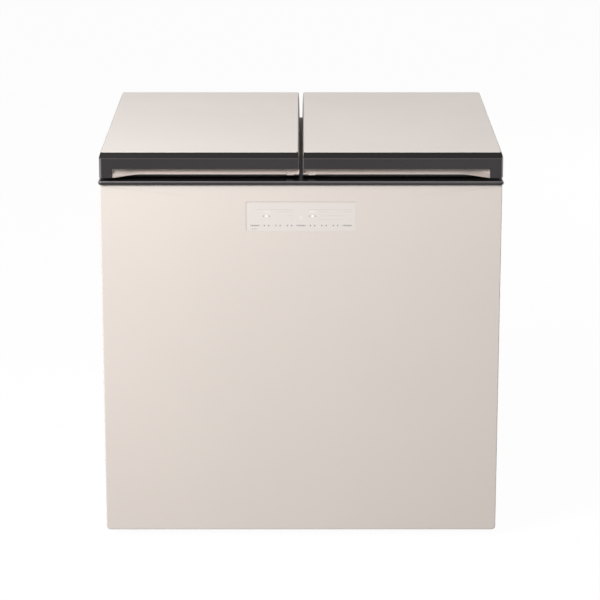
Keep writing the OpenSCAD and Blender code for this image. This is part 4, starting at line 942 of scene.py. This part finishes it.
def container_lid(side, name):
    """Container lid: a skirt over the container's lip, a rounded shoulder, a sunken top and a raised ring on it. The
    profile is (inset, height over the top) in mm."""
    low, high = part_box("tub_lid_left")
    ring_height = 2
    top = high.z - ring_height * MM
    foot = (low.z - top) / MM

    def plan(g):
        return outline(low.x + g * MM, low.y + g * MM, high.x - g * MM, high.y - g * MM, max(24.4 - g, 3) * MM)

    profile = ((2.9, -2.4), (2.7, -2.9), (2.7, foot + 0.5), (2.2, foot), (0.6, foot), (0, foot + 0.6), (0, -1.8),
               (0.25, -0.9), (0.9, -0.25), (1.8, 0), (12.6, 0), (13.6, -0.2), (14.4, -1), (30.6, -1), (31.2, 0.4),
               (32, 1.6), (33.2, ring_height), (34.6, ring_height), (35.6, 1.6), (36.2, 0.4), (36.8, -1), (37.8, -1))
    piece("container_cover_" + name, handed([skin(laid(plan, [(g, top + h * MM) for g, h in profile]))], side),
          "tub lid", "tub_lid_" + name, smooth=32)


# ---------------------------------------------------------------- back


def sweep(path, radius, sides):
    """Round tube along a path: at each point a circle square to the path, its normal carried on by the least turn."""
    path = np.asarray(path, float)
    along = np.gradient(path, axis=0)
    along /= np.linalg.norm(along, axis=1)[:, None]
    first = np.cross(along[0], (0, 0, 1) if abs(along[0][2]) < 0.9 else (1, 0, 0))
    normal = [first / np.linalg.norm(first)]
    for t in along[1:]:
        n = normal[-1] - (normal[-1] @ t) * t
        normal.append(n / np.linalg.norm(n))
    normal = np.array(normal)[:, None]
    other = np.cross(along[:, None], normal)
    q = np.linspace(0, 2 * math.pi, sides, endpoint=False)[None, :, None]
    return skin(path[:, None] + radius * (np.cos(q) * normal + np.sin(q) * other))


HINGE_Y = BACK_Y + 8 * MM
HINGE_Z = LID_Z + 11 * MM
LID_MID = 0.213
HINGE_SIDE = 130 * MM
HINGES = {side: [side * LID_MID + s * HINGE_SIDE for s in (-1, 1)] for side in (-1, 1)}


def hinge_springs(side, name):
    """Torsion springs on the hinge pins: a leg down, four turns of a helix, and a short leg up that the open lid
    clears."""
    r, half, wire, turns = 4.2 * MM, 8.8 * MM, 0.8 * MM, 4
    a = np.radians(180 + np.linspace(0, 360 * turns, 24 * turns + 1))
    coil = np.column_stack([np.linspace(-half, half, len(a)), HINGE_Y + r * np.cos(a), HINGE_Z - r * np.sin(a)])

    def leg(x, heights):
        return [(x, HINGE_Y - r, HINGE_Z + h * MM) for h in heights]

    path = np.concatenate([leg(-half, np.linspace(-20, -3, 6)), coil, leg(half, np.linspace(1.5, 6.5, 4))])
    piece("coil_springs_" + name, [sweep(path + (x, 0, 0), wire, 8) for x in HINGES[side]], "bright",
          "hinge_springs_" + name, smooth=60)


def rear_screws():
    """Pan-head screws: a low dome over the radius with a sunken cross, whose depth is a product of two soft steps."""
    edge_x, bracket_x, bracket_z, bracket = HALF_W - 9.2 * MM, 13 * MM, 804 * MM, 2 * MM
    spots = [(s * edge_x, z * MM, BACK_Y) for s in (-1, 1) for z in (56, 159, 262, 342, 567.5, 793)]
    spots += [(x + s * bracket_x, bracket_z, BACK_Y + bracket) for side in (-1, 1) for x in HINGES[side]
              for s in (-1, 1)]
    r = np.array([4.4, 4.4, 4.2, 3.6, 2.9, 2.2, 1.5, 0.8, 0.25])[:, None] * MM
    dome = np.array([0, 0.9, 1.5, 1.9, 2.1, 2.18, 2.2, 2.2, 2.2])[:, None] * MM
    q = np.linspace(0, 2 * math.pi, 32, endpoint=False)[None]
    u, v = np.abs(r * np.cos(q)), np.abs(r * np.sin(q))
    arm_half, arm_reach, step, sunk = 0.75 * MM, 2.7 * MM, 0.3 * MM, 1.1 * MM
    cross = np.clip((arm_half - np.minimum(u, v)) / step, 0, 1) * np.clip((arm_reach - np.maximum(u, v)) / step, 0, 1)
    rise = dome - sunk * cross
    parts = [skin(np.stack([x + r * np.cos(q), seat + rise, z + r * np.sin(q)], -1)) for x, z, seat in spots]
    piece("pan_screws", parts, "bright", "rear_screws", smooth=40)


def machine_cover():
    """Louvred cover: the flat sheet with its slots, and over each slot a pressed hood that stands out as a sine from
    top to foot, flat across with rounded ends by a sixth power, and open downwards."""
    softened("machine_cover", "zinc")
    columns, rows, pitch_x, pitch_z, first_z, middle_x = 5, 9, 108, 17, 86, 50
    hood_w, hood_h, top, stand, sheet = 66 * MM, 7.2 * MM, 8.0 * MM, 4.2 * MM, 0.8 * MM
    u = np.linspace(0, 1, 13)[None]
    v = np.linspace(0, 1, 6)[:, None]
    out = stand * np.sin(v * math.pi / 2) * (1 - np.abs(2 * u - 1) ** 6)
    n, m = out.shape
    a = (np.arange(n - 1)[:, None] * m + np.arange(m - 1)[None]).ravel()
    face = np.stack([a, a + 1, a + m + 1, a + m], -1)
    border = np.concatenate([np.arange(m), np.arange(1, n) * m + m - 1, (n - 1) * m + np.arange(m - 2, -1, -1),
                             np.arange(n - 2, 0, -1) * m])
    following = np.roll(border, -1)
    faces = [face, face[:, ::-1] + n * m, np.stack([following, border, border + n * m, following + n * m], -1)]
    parts = []
    for i in range(columns):
        for j in range(rows):
            x = ((i - columns // 2) * pitch_x + middle_x) * MM + (u - 0.5) * hood_w + 0 * v
            z = (first_z + pitch_z * j) * MM + top - hood_h * v + 0 * u
            front = np.stack([x, BACK_Y + out, z], -1)
            back = np.stack([x, BACK_Y + np.maximum(out - sheet, -0.4 * MM), z - 0.2 * MM], -1)
            parts.append((np.concatenate([front.reshape(-1, 3), back.reshape(-1, 3)]), faces))
    hoods = add("louvre_hoods", mesh_of("louvre_hoods", parts, 50))
    hoods.data.materials.append(FINISH["zinc"])
    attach(hoods, "cabinet")


# ---------------------------------------------------------------- floor and world


def seen_white(tree):
    """1 for rays from the camera, from a reflection or through glass, else 0."""
    path = node(tree, "LightPath").outputs
    return either(tree, path["Is Camera Ray"], path["Is Glossy Ray"], path["Is Transmission Ray"])


def make_floor():
    """Floor that is white where it is seen, with a part of its own shading so that the shadow stays."""
    reach, glowing = 30, 0.965
    mesh = bpy.data.meshes.new("floor")
    mesh.from_pydata([(-reach, -reach, 0), (reach, -reach, 0), (reach, reach, 0), (-reach, reach, 0)], [],
                     [(0, 1, 2, 3)])
    add("floor", mesh)
    pale = bpy.data.materials.new("pale floor")
    pale.use_nodes = True
    tree = pale.node_tree
    tree.nodes.clear()
    seen = seen_white(tree)
    matt = node(tree, "BsdfDiffuse", {"Color": mixed(tree, seen, (0.12, 0.108, 0.094), (0.92, 0.92, 0.92))})
    glow = node(tree, "Emission", {"Color": (1, 1, 1), "Strength": 1.0})
    share = calc(tree, "MULTIPLY", seen, glowing)
    surface = node(tree, "MixShader", {0: share, 1: matt.outputs[0], 2: glow.outputs[0]})
    node(tree, "OutputMaterial", {"Surface": surface.outputs[0]})
    mesh.materials.append(pale)


def make_world():
    """World that is white where it is seen and lights the object with a weak warm fill."""
    world = bpy.data.worlds.new("studio")
    bpy.context.scene.world = world
    world.use_nodes = True
    tree = world.node_tree
    tree.nodes.clear()
    fill = node(tree, "Background", {"Color": (1.0, 0.964, 0.934), "Strength": 0.27})
    white = node(tree, "Background", {"Color": (1, 1, 1), "Strength": 1.0})
    surface = node(tree, "MixShader", {0: seen_white(tree), 1: fill.outputs[0], 2: white.outputs[0]})
    node(tree, "OutputWorld", {"Surface": surface.outputs[0]})


# ---------------------------------------------------------------- build

make_camera()
front_panel()
rim()
rim_stops()
for side, name in ((-1, "left"), (1, "right")):
    lid_panel(side, name)
    lid_grip(side, name)
    lid_liner(side, name)
    container(side, name)
    container_lid(side, name)
    hinge_springs(side, name)
    lid_frame(name)
    softened("lid_gasket_" + name, "gasket", 0.8 * MM)
    softened("hinge_arms_" + name, "zinc", 0.4 * MM)
    softened("liner_" + name, "liner", smooth=40)
    run_up(softened("side_panel_" + name, "side", 0.4 * MM))
    softened("levelling_foot_" + name, "black", 0.5 * MM)
    softened("roller_" + name, "black", 0.6 * MM)
    softened("evaporator_" + name, "copper", 0.8 * MM)
rear_screws()
machine_cover()
run_up(softened("back_panel", "zinc", 0.9 * MM))
for name, look, width in (("hinge_brackets", "zinc", 0.4), ("base_frame", "zinc", 0.5), ("power_bush", "black", 0.8),
                          ("relay_cover", "black", 2.0), ("main_board_box", "white", 1.2),
                          ("fan_bracket", "black", 0.5), ("fan_motor", "bright", 0.8),
                          ("roller_brackets", "zinc", 0.4)):
    softened(name, look, width * MM)

CARRIED = {
    "machine_bulkhead": "zinc", "cabinet_foam": "foam", "display_window": "window", "display_lamps": "lamp",
    "display_board": "board", "display_housing": "white", "touch_pads": "bright", "hinge_pins": "bright",
    "compressor": "compressor", "compressor_mounts": "rubber", "compressor_bolts": "bright", "condenser_fins": "fins",
    "condenser_tube": "copper", "fan_blade": "white", "filter_drier": "copper", "refrigerant_lines": "copper",
    "roller_axles": "bright", "lid_foam_left": "foam", "lid_foam_right": "foam",
}
for name, look in CARRIED.items():
    data = frame["nodes"][name].data
    data.materials.clear()
    data.materials.append(FINISH[look])

make_floor()
make_world()
LAMP_WHITE = (1.0, 0.99, 0.985)
make_lamp("key", (-3.0, -2.9, 2.9), (0.3, -0.1, 1.1), 1.8, 239, (1.0, 0.991, 0.990))
make_lamp("over", (-0.9, -1.2, 2.7), (-0.1, -0.3, 0.8), 1.0, 9, LAMP_WHITE)
make_lamp("side", (-2.5, -1.6, 1.7), (-0.45, -0.35, 0.85), 0.7, 9, LAMP_WHITE)
make_lamp("front", (1.0, -5.2, 1.4), (0.0, -0.3, 0.7), 1.9, 34, (0.985, 0.985, 0.985))
make_lamp("right", (3.2, 0.3, 0.5), (0.45, 0.05, 0.45), 0.8, 27, LAMP_WHITE)
make_lamp("rear", (2.4, 3.4, 1.2), (0.1, 0.2, 0.5), 2.0, 42, LAMP_WHITE)

bpy.context.scene.view_settings.view_transform = "Standard"
